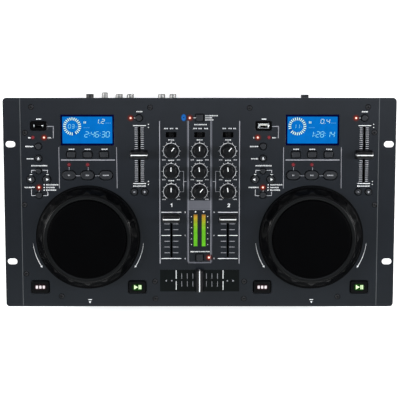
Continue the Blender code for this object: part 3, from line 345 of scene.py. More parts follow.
def box(width, depth, x=0.0, y=0.0, corner=0.0, steps=4):
    """A rectangle, with round corners where a radius is given."""
    if corner <= 0:
        return [(x + sx * width / 2, y + sy * depth / 2) for sx, sy in ((-1, -1), (1, -1), (1, 1), (-1, 1))]
    points = []
    for quarter, (sx, sy) in enumerate(((1, 1), (-1, 1), (-1, -1), (1, -1))):
        for i in range(steps + 1):
            a = (quarter + i / steps) * math.pi / 2
            px = x + sx * (width / 2 - corner) + corner * math.cos(a)
            py = y + sy * (depth / 2 - corner) + corner * math.sin(a)
            if not points or math.dist(points[-1], (px, py)) > SAME_POINT:
                points.append((px, py))
    return points


def outline_at(shape, x=0.0, y=0.0):
    """The outline of a named rectangle, placed at x and y."""
    width, depth, *corners = shape
    return box(width, depth, x, y, *corners)


def growing(shape, x=0.0, y=0.0):
    """A function that gives a rectangle's outline, grown or drawn in."""
    width, depth, corner, *steps = shape
    return lambda grow: box(width + 2 * grow, depth + 2 * grow, x, y, max(LEAST_CORNER, corner + grow),
                            *steps)


def shifted(points, dx, dy=0.0):
    return [(x + dx, y + dy) for x, y in points]


def skin(bm, rings, joined=False):
    """Faces along rings of equally many points, closed by end faces or joined end to end."""
    rows = [[bm.verts.new(point) for point in ring] for ring in rings]
    pairs = list(zip(rows, rows[1:]))
    if joined:
        pairs.append((rows[-1], rows[0]))
    for lower, upper in pairs:
        for i in range(len(lower)):
            bm.faces.new((lower[i - 1], lower[i], upper[i], upper[i - 1]))
    if not joined:
        bm.faces.new(rows[0][::-1])
        bm.faces.new(rows[-1])


def loft(bm, sections):
    """A closed body through flat outlines, each given with its height."""
    skin(bm, [[(x, y, h) for x, y in outline] for outline, h in sections])


def prism(bm, outline, low, high):
    loft(bm, [(outline, low), (outline, high)])


def turned(bm, profile, sides=64, x=0.0, y=0.0):
    loft(bm, [(circle(radius, sides, x, y), h) for radius, h in profile])


def prisms(outlines, low, high):
    """A new mesh of upright blocks of one height."""
    bm = bmesh.new()
    for outline in outlines:
        prism(bm, outline, low, high)
    return bm


def spun(profile, sides=64, places=((0.0, 0.0),)):
    """A new mesh of one turned shape at each place."""
    bm = bmesh.new()
    for x, y in places:
        turned(bm, profile, sides, x, y)
    return bm


def tube(bm, outer, inner, low, high, x=0.0, y=0.0, sides=40, edge=0.25):
    """A sleeve with an open bore and softened mouth."""
    profile = [(inner, low), (outer, low), (outer, high - edge), (outer - edge, high), (inner + edge, high),
               (inner, high - edge)]
    skin(bm, [[(px, py, h) for px, py in circle(radius, sides, x, y)] for radius, h in profile], joined=True)


def domed(bm, outline, low, high, edge):
    """A cap with a rounded top edge and a flat top; outline(grow) gives its outline drawn in or out."""
    sections = [(outline(0.0), low), (outline(0.0), high - edge)]
    for i in range(1, DOME_STEPS + 1):
        a = i * math.pi / (2 * DOME_STEPS)
        sections.append((outline(-edge * (1 - math.cos(a))), high - edge + edge * math.sin(a)))
    sections.append((outline(-edge * DOME_INSET_SHARE), high))
    loft(bm, sections)


def ribbon(bm, path, wide, thick):
    """A band along a path of (y, h) points in the plane x = 0, as wide as given across it."""
    points = [Vector(point) for point in path]
    rings = []
    for i, point in enumerate(points):
        way = (points[min(i + 1, len(points) - 1)] - points[max(i - 1, 0)]).normalized()
        under = point + Vector((way.y, -way.x)) * thick
        corners = ((point, -1), (point, 1), (under, 1), (under, -1))
        rings.append([(side * wide / 2, p.x, p.y) for p, side in corners])
    skin(bm, rings)


def seen_mesh(obj):
    """A new mesh of what an object's modifiers and curve settings make of it."""
    return bpy.data.meshes.new_from_object(obj.evaluated_get(bpy.context.evaluated_depsgraph_get()))


def finish_mesh(obj, bevel, angle):
    """Bevels sharp edges, applies that and shades what is left smooth."""
    if bevel:
        modifier = obj.modifiers.new("bevel", "BEVEL")
        modifier.width = bevel * MM
        modifier.segments = 2
        modifier.limit_method = "ANGLE"
        modifier.angle_limit = math.radians(BEVEL_ANGLE)
        mesh = seen_mesh(obj)
        obj.modifiers.clear()
        obj.data = mesh
        mesh.name = obj.name
    obj.data.shade_smooth()
    obj.data.set_sharp_from_angle(angle=math.radians(angle))


def hang(name, mesh, mat, body, replaces, bevel, angle):
    """Makes an object of a mesh and lets it ride on its body."""
    mesh.materials.clear()
    mesh.materials.append(mat)
    obj = bpy.data.objects.new(name, mesh)
    bpy.context.scene.collection.objects.link(obj)
    finish_mesh(obj, bevel, angle)
    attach(obj, body)
    if replaces:
        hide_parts(*replaces)


def piece(name, bm, mat, body="root", bevel=0.0, replaces=(), slot=None, turn=None, angle=20):
    """A piece from shapes drawn in panel millimetres, or in its own before turn places it."""
    bmesh.ops.recalc_face_normals(bm, faces=bm.faces)
    if turn is not None:
        bmesh.ops.transform(bm, matrix=turn, verts=bm.verts)
    bmesh.ops.transform(bm, matrix=Matrix.Translation(ORIGIN) @ Matrix.Scale(MM, 4), verts=bm.verts)
    mesh = bpy.data.meshes.new(name)
    bm.to_mesh(mesh)
    bm.free()
    hang(name, mesh, mat, body, replaces, bevel, angle)


def plate(name, rings, low, high, edge, mat, replaces=(), slot=None, turn=None):
    """A pierced plate whose outline and holes all have a small rounded edge."""
    curve = bpy.data.curves.new(name, "CURVE")
    curve.dimensions = "2D"
    curve.fill_mode = "BOTH"
    for points in rings:
        spline = curve.splines.new("POLY")
        spline.points.add(len(points) - 1)
        for point, (x, y) in zip(spline.points, points):
            point.co = (x * MM, y * MM, 0.0, 1.0)
        spline.use_cyclic_u = True
    curve.extrude = ((high - low) / 2 - edge) * MM
    curve.bevel_depth = edge * MM
    curve.bevel_resolution = 1
    curve.offset = -edge * MM
    guide = bpy.data.objects.new(name + "_outline", curve)
    bpy.context.scene.collection.objects.link(guide)
    mesh = seen_mesh(guide)
    bpy.data.objects.remove(guide)
    mesh.name = name
    mesh.transform(Matrix.Translation((0.0, 0.0, (low + high) / 2 * MM)))
    if turn is not None:
        small = turn.copy()
        small.translation = small.translation * MM
        mesh.transform(small)
    mesh.transform(Matrix.Translation(ORIGIN))
    hang(name, mesh, mat, "root", replaces, 0.0, PLATE_CREASE)


UPRIGHT = Matrix.Rotation(math.pi / 2, 4, "X")
ABOUT = Matrix.Rotation(math.pi, 4, "Z")
SIDEWAYS = Matrix.Rotation(math.pi / 2, 4, "Z")


def at(x, y, h=0.0):
    return Matrix.Translation((x, y, h))


def to_front(x=0.0, h=0.0):
    """Turns shapes so that their y points up and their height out of the front wall."""
    return at(x, FRONT_Y, h) @ UPRIGHT


def to_rear(x=0.0, h=0.0):
    """Turns shapes so that their y points up and their height out of the rear wall."""
    return at(x, REAR_Y, h) @ ABOUT @ UPRIGHT


def rear_place(name):
    place = middle(name)
    return to_rear(place.x, place.z)


# Printed and inlaid marks
INK = 0.03
LEAST_MITRE = 0.5
TRIANGLE_SHARES = (0.5, 0.87)
DOT_SIDES = 16
inks = {}


def ink(mat, body):
    key = (mat.name, body)
    if key not in inks:
        inks[key] = bmesh.new()
    return inks[key]


def mark(mat, outline, h=0.0, body="root"):
    """A flat mark of ink on the surface at height h."""
    prism(ink(mat, body), outline, h - INK, h + INK)


def stroke(mat, points, width, h=0.0, body="root"):
    """A line of even width with mitred corners; it closes where its ends meet."""
    points = [Vector(point) for point in points]
    closed = (points[0] - points[-1]).length < INK
    if closed:
        points = points[:-1]
    count = len(points)
    edges = []
    for i, here in enumerate(points):
        ways = []
        if closed or i > 0:
            ways.append((here - points[i - 1]).normalized())
        if closed or i < count - 1:
            ways.append((points[(i + 1) % count] - here).normalized())
        sides = [Vector((-way.y, way.x)) for way in ways]
        side = sum(sides, Vector((0.0, 0.0))).normalized()
        side = side * (width / 2 / max(LEAST_MITRE, side.dot(sides[0])))
        edges.append((here + side, here - side))
    for i in range(count if closed else count - 1):
        (a, b), (c, d) = edges[i], edges[(i + 1) % count]
        mark(mat, [tuple(p) for p in (a, b, d, c)], h, body)


def arc(mat, x, y, radius, first, last, width, h=0.0, steps=40):
    angles = [math.radians(first + (last - first) * i / steps) for i in range(steps + 1)]
    stroke(mat, [(x + radius * math.cos(a), y + radius * math.sin(a)) for a in angles], width, h)


def triangle(mat, x, y, reach, direction, h=0.0, body="root"):
    a = math.radians(direction)
    back, half = (share * reach for share in TRIANGLE_SHARES)
    corners = [(reach, 0.0), (-back, half), (-back, -half)]
    mark(mat, [(x + p * math.cos(a) - q * math.sin(a), y + p * math.sin(a) + q * math.cos(a))
               for p, q in corners], h, body)


LETTER_PITCH = 1.35
LETTER_SHARES = (0.74, 0.50, 0.66, 0.42, 0.70, 0.56)
WORD_HEIGHT = 1.45


def label(mat, x0, x1, y, height=WORD_HEIGHT, h=0.0, body="root"):
    """A row of plain blocks that takes the place of a word."""
    count = max(1, round((x1 - x0) / LETTER_PITCH))
    pitch = (x1 - x0) / count
    for i in range(count):
        wide = LETTER_SHARES[i % len(LETTER_SHARES)] * pitch
        mark(mat, box(wide, height, x0 + (i + 0.5) * pitch, y), h, body)


BARS = {"a": (0, 1, 1, 1), "b": (1, 1, 1, 0.5), "c": (1, 0.5, 1, 0), "d": (0, 0, 1, 0),
        "e": (0, 0, 0, 0.5), "f": (0, 0.5, 0, 1), "g": (0, 0.5, 1, 0.5)}
DIGITS = dict(zip("0123456789", ("abcdef", "bc", "abged", "abgcd", "fgbc", "afgcd", "afgedc", "abc",
                                 "abcdefg", "abcdfg")))
DOT_LEVELS = {":": (0.3, 0.7), ".": (0.0,)}
DOT_STEP_SHARE = 3.4
UPRIGHT_BAR_SHARE = 0.10
FLAT_BAR_SHARE = 0.16


def digits(mat, text, x, y, font, h=0.0):
    """Seven-bar digits, centred on y, from x on; a font is width, height, thickness, pitch and lean."""
    width, height, thick, pitch, lean = font
    for char in text:
        for level in DOT_LEVELS.get(char, ()):
            mark(mat, box(thick, thick, x + thick / 2 + lean * level, y + (level - 0.5) * height), h)
        for bar in DIGITS.get(char, ""):
            x0, y0, x1, y1 = BARS[bar]
            shrink = UPRIGHT_BAR_SHARE if x0 == x1 else FLAT_BAR_SHARE
            a = Vector((x + x0 * width + lean * y0, y + (y0 - 0.5) * height))
            b = Vector((x + x1 * width + lean * y1, y + (y1 - 0.5) * height))
            stroke(mat, [a.lerp(b, shrink), b.lerp(a, shrink)], thick, h)
        x += thick * DOT_STEP_SHARE if char in DOT_LEVELS else pitch


def make_inks():
    for (name, body), bm in inks.items():
        piece(f"{name}_on_{body}", bm, bpy.data.materials[name], body)


# Keys
KEY_SIZES = {"display": (10.0, 7.0, 1.0), "loop": (15.8, 10.4, 5.19, 8), "pad": (21.0, 14.9, 1.8),
             "square": (8.3, 8.3, 0.8)}
KEY_SIDES = 40
KEY_FOOT = -3.4
KEY_FLANGE = 0.9
KEY_FLANGE_REACH = (-0.1, 1.1)
KEY_EDGE = 0.5
KEY_OWNERS = {"select": "select_keys", "eject": "select_keys", "skip": "search_keys", "back": "search_keys",
              "forward": "search_keys", "jog_mode": "search_keys", "pitch": "pitch_key",
              "bend_down": "bend_keys", "bend_up": "bend_keys"}


def key_shape(kind, x, y):
    """A function that gives a key's outline, grown or drawn in; kind is a name or a radius."""
    if isinstance(kind, float):
        return lambda grow: circle(kind + grow, KEY_SIDES, x, y)
    return growing(KEY_SIZES[kind], x, y)


def deck_keys(x0):
    """Every cap of the deck at x0: the stem of the body it belongs to and its shape."""
    caps = [(KEY_OWNERS[key], key_shape(radius, x0 + x, y)) for key, (x, y, radius) in ROUND_KEYS.items()]
    caps += [("display_keys", key_shape("display", x0 + x, y)) for x, y in DISPLAY_KEYS]
    caps += [("loop_keys", key_shape("loop", x0 + x, y)) for x, y in LOOP_KEYS]
    caps += [(f"{key}_key", key_shape("pad", x0 + x, y)) for key, (x, y) in PADS.items()]
    return caps


def add_caps(name, shapes, mat):
    """Key caps of one body, on flanges that stay under the panel; the flanges are black as painted shade in
    the gaps round the caps.
    """
    caps = bmesh.new()
    for shape in shapes:
        domed(caps, shape, KEY_FOOT, KEY_TOP, KEY_EDGE)
    reach = [KEY_FOOT + step for step in KEY_FLANGE_REACH]
    flanges = prisms([shape(KEY_FLANGE) for shape in shapes], *reach)
    piece(f"{name}_caps", caps, mat, name, replaces=[name], slot="key_plastic", angle=40)
    piece(f"{name}_flanges", flanges, SHADE, name, slot="key_plastic")


def make_keys():
    for side, x0 in SIDES.items():
        caps = deck_keys(x0)
        for stem in sorted({stem for stem, _ in caps}):
            shapes = [shape for owner, shape in caps if owner == stem]
            add_caps(f"{stem}_{side}", shapes, PAD if stem in ("cue_key", "play_key") else KEY)
    for name in SQUARE_KEYS:
        place = middle(name)
        add_caps(name, [key_shape("square", place.x, place.y)], KEY)


# Panel
PANEL_CORNER = (4.5, 8)
PANEL_EDGE = 0.18
KEY_GAP = 1.0
LAMP_HOLE = (1.85, 24)
SHAFT_HOLE = (3.4, 32)
HUB_HOLE = (14.4, 64)
FADER_SLOT = 2.6
FADER_SLOT_CORNER = (FADER_SLOT / 2 - 0.1, 5)
PITCH_SLOT = 70.1
DISPLAY_WINDOW = (65.8, 38.0, 0.4, 2)
USB_WINDOW = (20.6, 12.0, 2.6, 6)
SWITCH_WINDOW = (13.3, 6.7, 0.5, 3)
METER_WINDOW = (*METER_SIZE, 0.3, 2)
RACK_HOLE = (12.0, 7.5, 3.7, 8)
SCREW_HEAD = [(2.9, 0.01), (2.9, 0.18), (2.45, 0.62), (1.5, 0.86)]
# A shadow ring painted round each screw head, and a dark cross painted on the head as shade in its recess
SCREW_SHADOW_RING = (3.2, 0.6)
SCREW_TURN = 0.4
SCREW_CROSS_SHADE = (1.35, 0.55, 0.84)


def slot_outline(x, y, length, along_x=False):
    width, depth = (length, FADER_SLOT) if along_x else (FADER_SLOT, length)
    return box(width, depth, x, y, *FADER_SLOT_CORNER)


def panel_holes():
    holes = []
    for x0 in SIDES.values():
        holes += [shape(KEY_GAP) for _, shape in deck_keys(x0)]
        holes += [circle(*LAMP_HOLE, x0 + x, y) for x, y in DECK_LAMPS.values()]
        holes.append(outline_at(DISPLAY_WINDOW, x0 + DISPLAY[0], DISPLAY[1]))
        holes.append(outline_at(USB_WINDOW, x0 + USB[0], USB[1]))
        holes.append(slot_outline(x0 + PITCH[0], PITCH[1], PITCH_SLOT))
        holes.append(circle(*HUB_HOLE, x0, JOG_Y))
    holes += [circle(*SHAFT_HOLE, *middle(f"knob_{name}").xy) for name in KNOB_TURNS]
    for side in ENDS:
        holes.append(slot_outline(side * COLUMN, CHANNEL_Y, CHANNEL_SLOT))
        holes.append(outline_at(METER_WINDOW, side * METER_PLACE[0], METER_PLACE[1]))
        holes += [outline_at(RACK_HOLE, side * RACK_SLOT[0], end * RACK_SLOT[1]) for end in ENDS]
    holes += [outline_at(SWITCH_WINDOW, middle(name).x, SWITCH_Y) for name in SWITCHES]
    holes += [key_shape("square", 0.0, middle(name).y)(KEY_GAP) for name in SQUARE_KEYS]
    holes += [circle(*LAMP_HOLE, x, y) for x, y in MIXER_LAMPS]
    holes.append(slot_outline(0.0, CROSS_Y, CHANNEL_SLOT, True))
    return holes


def make_panel():
    panel = size("top_panel")
    outline = box(panel.x, panel.y, 0.0, 0.0, *PANEL_CORNER)
    plate("panel", [outline, *panel_holes()], -panel.z, 0.0, PANEL_EDGE, PAINT, replaces=["top_panel"],
          slot="body_paint")
    shadow_radius, shadow_width = SCREW_SHADOW_RING
    reach, width, h = SCREW_CROSS_SHADE
    # Painted shadow rings round the screws and painted shade crosses on their heads
    for x, y in SCREWS:
        arc(SHADE, x, y, shadow_radius, 0, 360, shadow_width, steps=24)
        for a in (SCREW_TURN + x, SCREW_TURN + x + math.pi / 2):
            way = heading(a) * reach
            stroke(SHADE, [(x - way.x, y - way.y), (x + way.x, y + way.y)], width, h)
    piece("panel_screws", spun(SCREW_HEAD, 32, SCREWS), SCREW, slot="body_paint")


# Walls and feet
SHEET = 1.5
WALL_CORNER = (0.2, 1)
WALL_EDGE = 0.2
DISC_SLOT_H = -33.0
DISC_SLOT = (126.0, 5.2, 2.55, 8)
DUST_STRIP = (128.0, 2.6, 0.3, 2)
DUST_STEP = 1.55
DUST_REACH = (-2.3, -1.6)
ROUND_HOLES = {"mic_socket": 5.0, "ground_post": 2.5}
JACK_HOLE = ROUND_HOLES["mic_socket"]
PHONO_HOLE = 4.5
HOLE_SIDES = 32
PHONO_X = [middle(name).x for name in ("line_sockets", "output_sockets")]
PHONO_H = (-28.0, -42.0)
PHONO_HALF = 7.0
BUTTON_HOLE = (9.8, 9.8, 0.5, 3)
INLET_HOLE = (28.1, 20.6, 0.8, 3)
SMALL_SCREW = [(2.6, 0.0), (2.6, 0.25), (2.1, 0.8), (1.2, 1.05)]
SMALL_SCREW_SIDES = 24
REAR_SCREWS = [(-x, h) for x in (-212.0, -150.0, -10.0, 60.0, 212.0) for h in (-10.0, -64.0)]
SIDE_SCREW_Y = (-95.0, -2.0, 92.0)
SIDE_SCREW_H = -12.0
FOOT_SPOTS = [(sx * 189.29, sy * 93.6) for sx in ENDS for sy in ENDS]
FOOT_FLOOR = span("base_tray")[0].z
FOOT_PROFILE = [(11.2, FOOT_FLOOR), (11.9, FOOT_FLOOR + 0.4), (12.6, WALL[0].z - 1.2),
                (13.0, WALL[0].z - INSIDE)]


def make_walls():
    """Front wall with its disc slots, rear wall with its socket holes, and their dust strips."""
    low, high = WALL
    wall = box(high.x - low.x, high.z - low.z, 0.0, (low.z + high.z) / 2, *WALL_CORNER)
    slots = [outline_at(DISC_SLOT, x, DISC_SLOT_H) for x in SIDES.values()]
    jack = middle("headphone_socket")
    slots.append(circle(JACK_HOLE, HOLE_SIDES, jack.x, jack.z))
    plate("front_wall", [wall, *slots], -SHEET, 0.0, WALL_EDGE, BODY, replaces=["front_panel"],
          slot="body_paint", turn=to_front())
    holes = [circle(PHONO_HOLE, HOLE_SIDES, -x + side * PHONO_HALF, h)
             for x in PHONO_X for side in ENDS for h in PHONO_H]
    for name, radius in ROUND_HOLES.items():
        holes.append(circle(radius, HOLE_SIDES, -middle(name).x, middle(name).z))
    for name, shape in (("power_button", BUTTON_HOLE), ("power_inlet", INLET_HOLE)):
        holes.append(outline_at(shape, -middle(name).x, middle(name).z))
    plate("rear_wall", [wall, *holes], -SHEET, 0.0, WALL_EDGE, BODY, replaces=["rear_panel"],
          slot="body_paint", turn=to_rear())
    strips = [outline_at(DUST_STRIP, x, DISC_SLOT_H + side * DUST_STEP)
              for x in SIDES.values() for side in ENDS]
    piece("slot_dust_strips", prisms(strips, *DUST_REACH), FELT, turn=to_front())


def make_body_screws():
    heads = spun(SMALL_SCREW, SMALL_SCREW_SIDES, REAR_SCREWS)
    piece("rear_screws", heads, SCREW, turn=to_rear(), slot="body_paint")
    for side, word in zip(ENDS, SIDES):
        out = Matrix.Rotation(side * math.pi / 2, 4, "Y")
        for y in SIDE_SCREW_Y:
            name = f"side_screw_{word}_{round(y - SIDE_SCREW_Y[0])}"
            head = spun(SMALL_SCREW, SMALL_SCREW_SIDES)
            piece(name, head, SCREW, turn=at(side * EAR, y, SIDE_SCREW_H) @ out, slot="body_paint")


# Wheels
DIMPLES = 16
DIMPLE_STEPS = 18
DIMPLE_DEPTH = 1.5
RIB_POWER = 5
WHEEL_SIDES = 160
SKIRT_PROFILE = [(62.2, 2.6), (63.0, 2.9), (63.0, 4.5), (62.6, 5.0), (61.6, 5.4)]
RING_PROFILE = [(61.5, 4.2, 0.0), (61.8, 5.3, 0.0), (61.9, 6.3, 0.15), (61.5, 7.6, 0.7), (60.6, 9.2, 1.0),
                (59.3, 11.2, 1.0), (58.0, 13.0, 1.0), (56.8, 14.4, 0.8), (55.8, 15.3, 0.35),
                (55.0, 15.9, 0.0), (54.2, 16.2, 0.0), (53.6, 15.9, 0.0)]
# Radius and width of a shadow ring painted on the panel round each wheel
WHEEL_SHADOW_RING = (63.9, 1.8)
RIM_PROFILE = [(53.9, 15.6), (53.9, 16.6), (53.3, 17.15), (52.3, 17.3), (49.6, 17.1), (48.7, 16.8),
               (48.45, 16.2), (48.45, 15.6)]
HUB_PROFILE = [(14.0, -12.5), (14.0, -9.9), (26.0, -9.9), (26.0, -8.5), (14.0, -8.5), (14.0, 3.0)]
TOUCH_RADIUS = 48.2
TOUCH_FOOT = 15.9
TOUCH_SHOULDER = 17.9
TOUCH_EDGE = 0.9
TOUCH_EDGE_ANGLES = (0.0, 0.5, 1.0, 1.5)
TOUCH_CROWN = [(44.0, 18.98), (36.0, 19.2), (24.0, 19.38), (12.0, 19.47), (2.0, 19.5)]


def ring_outline(radius, depth):
    """A circle drawn in by broad finger dimples between narrow ribs."""
    points = []
    steps = DIMPLES * DIMPLE_STEPS
    for i in range(steps):
        a = 2 * math.pi * i / steps
        dip = 1 - abs(math.cos(a * DIMPLES / 2)) ** RIB_POWER
        points.append(tuple(heading(a) * (radius - depth * dip)))
    return points


def make_jogs():
    edge = [(TOUCH_RADIUS - TOUCH_EDGE * (1 - math.cos(a)), TOUCH_SHOULDER + TOUCH_EDGE * math.sin(a))
            for a in TOUCH_EDGE_ANGLES]
    touch = [(TOUCH_RADIUS, TOUCH_FOOT), *edge, *TOUCH_CROWN]
    radius, width = WHEEL_SHADOW_RING
    for side, x0 in SIDES.items():
        body, look = f"jog_{side}", {"slot": "wheel_plastic", "turn": at(x0, JOG_Y)}
        bm = bmesh.new()
        loft(bm, [(ring_outline(r, share * DIMPLE_DEPTH), h) for r, h, share in RING_PROFILE])
        piece(f"jog_ring_{side}", bm, RING, body, replaces=[f"jog_wheel_{side}"], angle=50, **look)
        # Black skirt: painted shade along the foot of the wheel
        piece(f"jog_skirt_{side}", spun(SKIRT_PROFILE, WHEEL_SIDES), SHADE, body, angle=50, **look)
        # A shadow ring painted on the panel round the wheel
        arc(SHADE, x0, JOG_Y, radius, 0, 360, width, steps=120)
        piece(f"jog_rim_{side}", spun(RIM_PROFILE, WHEEL_SIDES), RIM, body, angle=50, **look)
        piece(f"jog_hub_{side}", spun(HUB_PROFILE), SOCKET, body, bevel=0.2, **look)
        piece(f"jog_plate_{side}", spun(touch, WHEEL_SIDES), PLATE, body, replaces=[f"touch_plate_{side}"],
              slot="touch_plastic", turn=at(x0, JOG_Y), angle=50)


# Knobs
FLUTES = 24
FLUTE_STEPS = 6
KNOB_PROFILE = [(3.0, -9.2, 0.0), (3.0, 0.8, 0.0), (8.05, 0.8, 0.0), (8.3, 1.1, 0.0), (8.3, 3.3, 0.0),
                (8.05, 3.7, 0.0), (7.95, 4.1, 0.28), (7.45, 11.6, 0.3), (7.25, 12.6, 0.12), (6.85, 13.5, 0.0),
                (6.25, 14.15, 0.0), (5.5, 14.42, 0.0), (4.6, 14.46, 0.0), (1.0, 14.3, 0.0)]
POINTER = (1.0, 6.4)
POINTER_WIDTH = 1.0
POINTER_H = 14.44


def fluted(radius, depth):
    points = []
    for i in range(FLUTE_STEPS * FLUTES):
        a = 2 * math.pi * i / (FLUTE_STEPS * FLUTES)
        points.append(tuple(heading(a) * (radius - depth * (0.5 - 0.5 * math.cos(a * FLUTES)) ** 2)))
    return points


def make_knobs():
    for name, degrees in KNOB_TURNS.items():
        body = f"knob_{name}"
        place = middle(body)
        bm = bmesh.new()
        loft(bm, [(fluted(radius, depth), h) for radius, h, depth in KNOB_PROFILE])
        piece(f"{body}_cap", bm, KNOB, body, replaces=[body], slot="control_cap", angle=45,
              turn=at(place.x, place.y))
        way = heading(math.radians(90 + degrees))
        stroke(BRIGHT, [place.xy + way * reach for reach in POINTER], POINTER_WIDTH, POINTER_H, body)


# Faders and switches; a cap's sections are end inset, depth, corner radius and height
CAP_PROFILE = [(0.3, 10.6, 0.9, 0.8), (0.0, 11.2, 1.2, 1.1), (0.0, 11.2, 1.2, 1.9), (0.1, 10.6, 1.1, 2.9),
               (0.2, 8.4, 1.0, 5.2), (0.3, 6.9, 0.9, 7.6), (0.35, 6.9, 0.9, 9.4), (0.4, 7.7, 0.9, 10.8),
               (0.6, 7.4, 0.9, 11.6), (1.1, 6.2, 0.8, 12.2), (2.0, 1.9, 0.6, 12.38)]
CAP_CORNER_STEPS = 3
CAP_STEM = (8.0, 2.0, 0.5, 3)
CAP_LINE = (1.1, 0.3)
CAP_LINE_FROM = 3
CAP_LINE_OUT = 0.02
CAP_LINE_UP = 0.06
SWITCH_COLLAR = (2.6, -2.0, 0.5, 0.3)
SWITCH_NUB = (5.6, 6.1, 0.5)
SWITCH_NUB_REACH = (-2.0, 0.9, 0.3)
SWITCH_STEM = (2.8, 3.0)
SWITCH_STEM_REACH = (-8.2, -1.9)
SWITCH_RIB = (0.5, 5.2, 0.15, 2)
SWITCH_RIB_REACH = (0.8, 1.38)
SWITCH_RIB_STEPS = [i * 1.15 for i in (-1.5, -0.5, 0.5, 1.5)]
# Black sheets painted as shade under the switch windows and the fader slots
SWITCH_SHADE_MARGIN = 1.2
SWITCH_SHADE_REACH = (-4.6, -3.4)
SHADE_SHEET_WIDTH = 8.8
SHADE_SHEET_REACH = (-8.47, -8.38)
PITCH_SHADE_SHEET = PITCH_SLOT + 5.9
CHANNEL_SHADE_SHEET = CHANNEL_SLOT + 6.0


def fader_cap(name, across=False):
    """A waisted cap with a white line over its ridge and down its ends, on a flat stem."""
    place = middle(name)
    wide = size(name).y if across else size(name).x
    turn = at(place.x, place.y) if across else at(place.x, place.y) @ SIDEWAYS
    stem = outline_at(CAP_STEM)
    sections = [(stem, span(name)[0].z), (stem, CAP_PROFILE[0][-1])]
    sections += [(box(depth, wide - 2 * inset, 0.0, 0.0, corner, CAP_CORNER_STEPS), h)
                 for inset, depth, corner, h in CAP_PROFILE]
    bm = bmesh.new()
    loft(bm, sections)
    piece(f"{name}_cap", bm, CAP, name, replaces=[name], slot="control_cap", turn=turn, angle=40)
    rise = [(wide / 2 - inset + CAP_LINE_OUT, h + CAP_LINE_UP)
            for inset, _, _, h in CAP_PROFILE[CAP_LINE_FROM:]]
    bm = bmesh.new()
    ribbon(bm, [(-y, h) for y, h in rise] + rise[::-1], *CAP_LINE)
    piece(f"{name}_line", bm, BRIGHT, name, slot="control_cap", turn=turn, angle=60)


def switch_cap(name, x, y):
    radius, *collar = SWITCH_COLLAR
    bm = bmesh.new()
    domed(bm, key_shape(radius, x, y), *collar)
    domed(bm, growing(SWITCH_NUB, x, y), *SWITCH_NUB_REACH)
    prism(bm, outline_at(SWITCH_STEM, x, y), *SWITCH_STEM_REACH)
    for step in SWITCH_RIB_STEPS:
        prism(bm, outline_at(SWITCH_RIB, x + step, y), *SWITCH_RIB_REACH)
    piece(f"{name}_cap", bm, RECESS, name, replaces=[name], slot="key_plastic", angle=40)


def make_faders():
    for name in ("pitch_fader_left", "pitch_fader_right", "channel_fader_1", "channel_fader_2"):
        fader_cap(name)
    fader_cap("crossfader", True)
    # Black sheets under the slots and switch windows paint shade into the openings
    shade_sheets = bmesh.new()
    window = [measure + SWITCH_SHADE_MARGIN for measure in SWITCH_WINDOW[:2]]
    for name in SWITCHES:
        x, y, _ = middle(name)
        switch_cap(name, x, y)
        prism(shade_sheets, box(*window, x, y), *SWITCH_SHADE_REACH)
    strips = [(SHADE_SHEET_WIDTH, PITCH_SHADE_SHEET, x0 + PITCH[0], PITCH[1]) for x0 in SIDES.values()]
    strips += [(SHADE_SHEET_WIDTH, CHANNEL_SHADE_SHEET, side * COLUMN, CHANNEL_Y) for side in ENDS]
    for strip in (*strips, (CHANNEL_SHADE_SHEET, SHADE_SHEET_WIDTH, 0.0, CROSS_Y)):
        prism(shade_sheets, box(*strip), *SHADE_SHEET_REACH)
    piece("slot_linings", shade_sheets, SHADE)


# Lamps and meters
LAMP_PROFILE = [(1.6, -1.6), (1.6, 0.1), (1.5, 0.45), (1.2, 0.8), (0.7, 1.0)]
LAMP_SIDES = 24
CORE_PROFILE = [(1.15, 0.80), (1.05, 0.98), (0.5, 1.12)]
CORE_SIDES = 20
LIT_REACH = [(1.75, 2.5), (2.5, 3.4), (3.4, 4.5)]
DARK_REACH = [(1.75, 2.7)]
HALOS = {True: list(zip(LIT_HALOS, LIT_REACH)), False: list(zip(DARK_HALOS, DARK_REACH))}
METER_STEPS = 30
METER_INSET = 0.8
METER_STEP = (METER_SIZE[1] - 2 * METER_INSET) / (METER_STEPS - 1)
METER_BED_GAP = 0.3
METER_BED_REACH = (-1.2, 0.015)
METER_BAR = (METER_SIZE[0] - 0.7, METER_STEP * 0.8, 0.1, 1)
METER_BAR_REACH = (-0.2, 0.14)


def make_lamps():
    places = [(x0 + x, y, key in LIT[side])
              for side, x0 in SIDES.items() for key, (x, y) in DECK_LAMPS.items()]
    places += [(x, y, True) for x, y in MIXER_LAMPS]
    # Painted glow rings on the panel round each lamp
    for x, y, on in places:
        for mat, (inner, outer) in HALOS[on]:
            arc(mat, x, y, (inner + outer) / 2, 0, 360, outer - inner, steps=32)
    lit, dark = ([(x, y) for x, y, on in places if on == state] for state in (True, False))
    piece("lamps_lit", spun(LAMP_PROFILE, LAMP_SIDES, lit), LAMP_RED)
    piece("lamps_dark", spun(LAMP_PROFILE, LAMP_SIDES, dark), RED_LENS)
    piece("lamp_cores", spun(CORE_PROFILE, CORE_SIDES, lit), LAMP_CORE)


def make_meters():
    columns = [side * METER_PLACE[0] for side in ENDS]
    beds = [box(*(measure - METER_BED_GAP for measure in METER_SIZE), x, METER_PLACE[1]) for x in columns]
    bars = [outline_at(METER_BAR, x, METER_REACH[0] + METER_INSET + i * METER_STEP)
            for x in columns for i in range(METER_STEPS)]
    piece("meter_beds", prisms(beds, *METER_BED_REACH), METER_BED)
    piece("meter_lights", prisms(bars, *METER_BAR_REACH), METER_LIGHT)


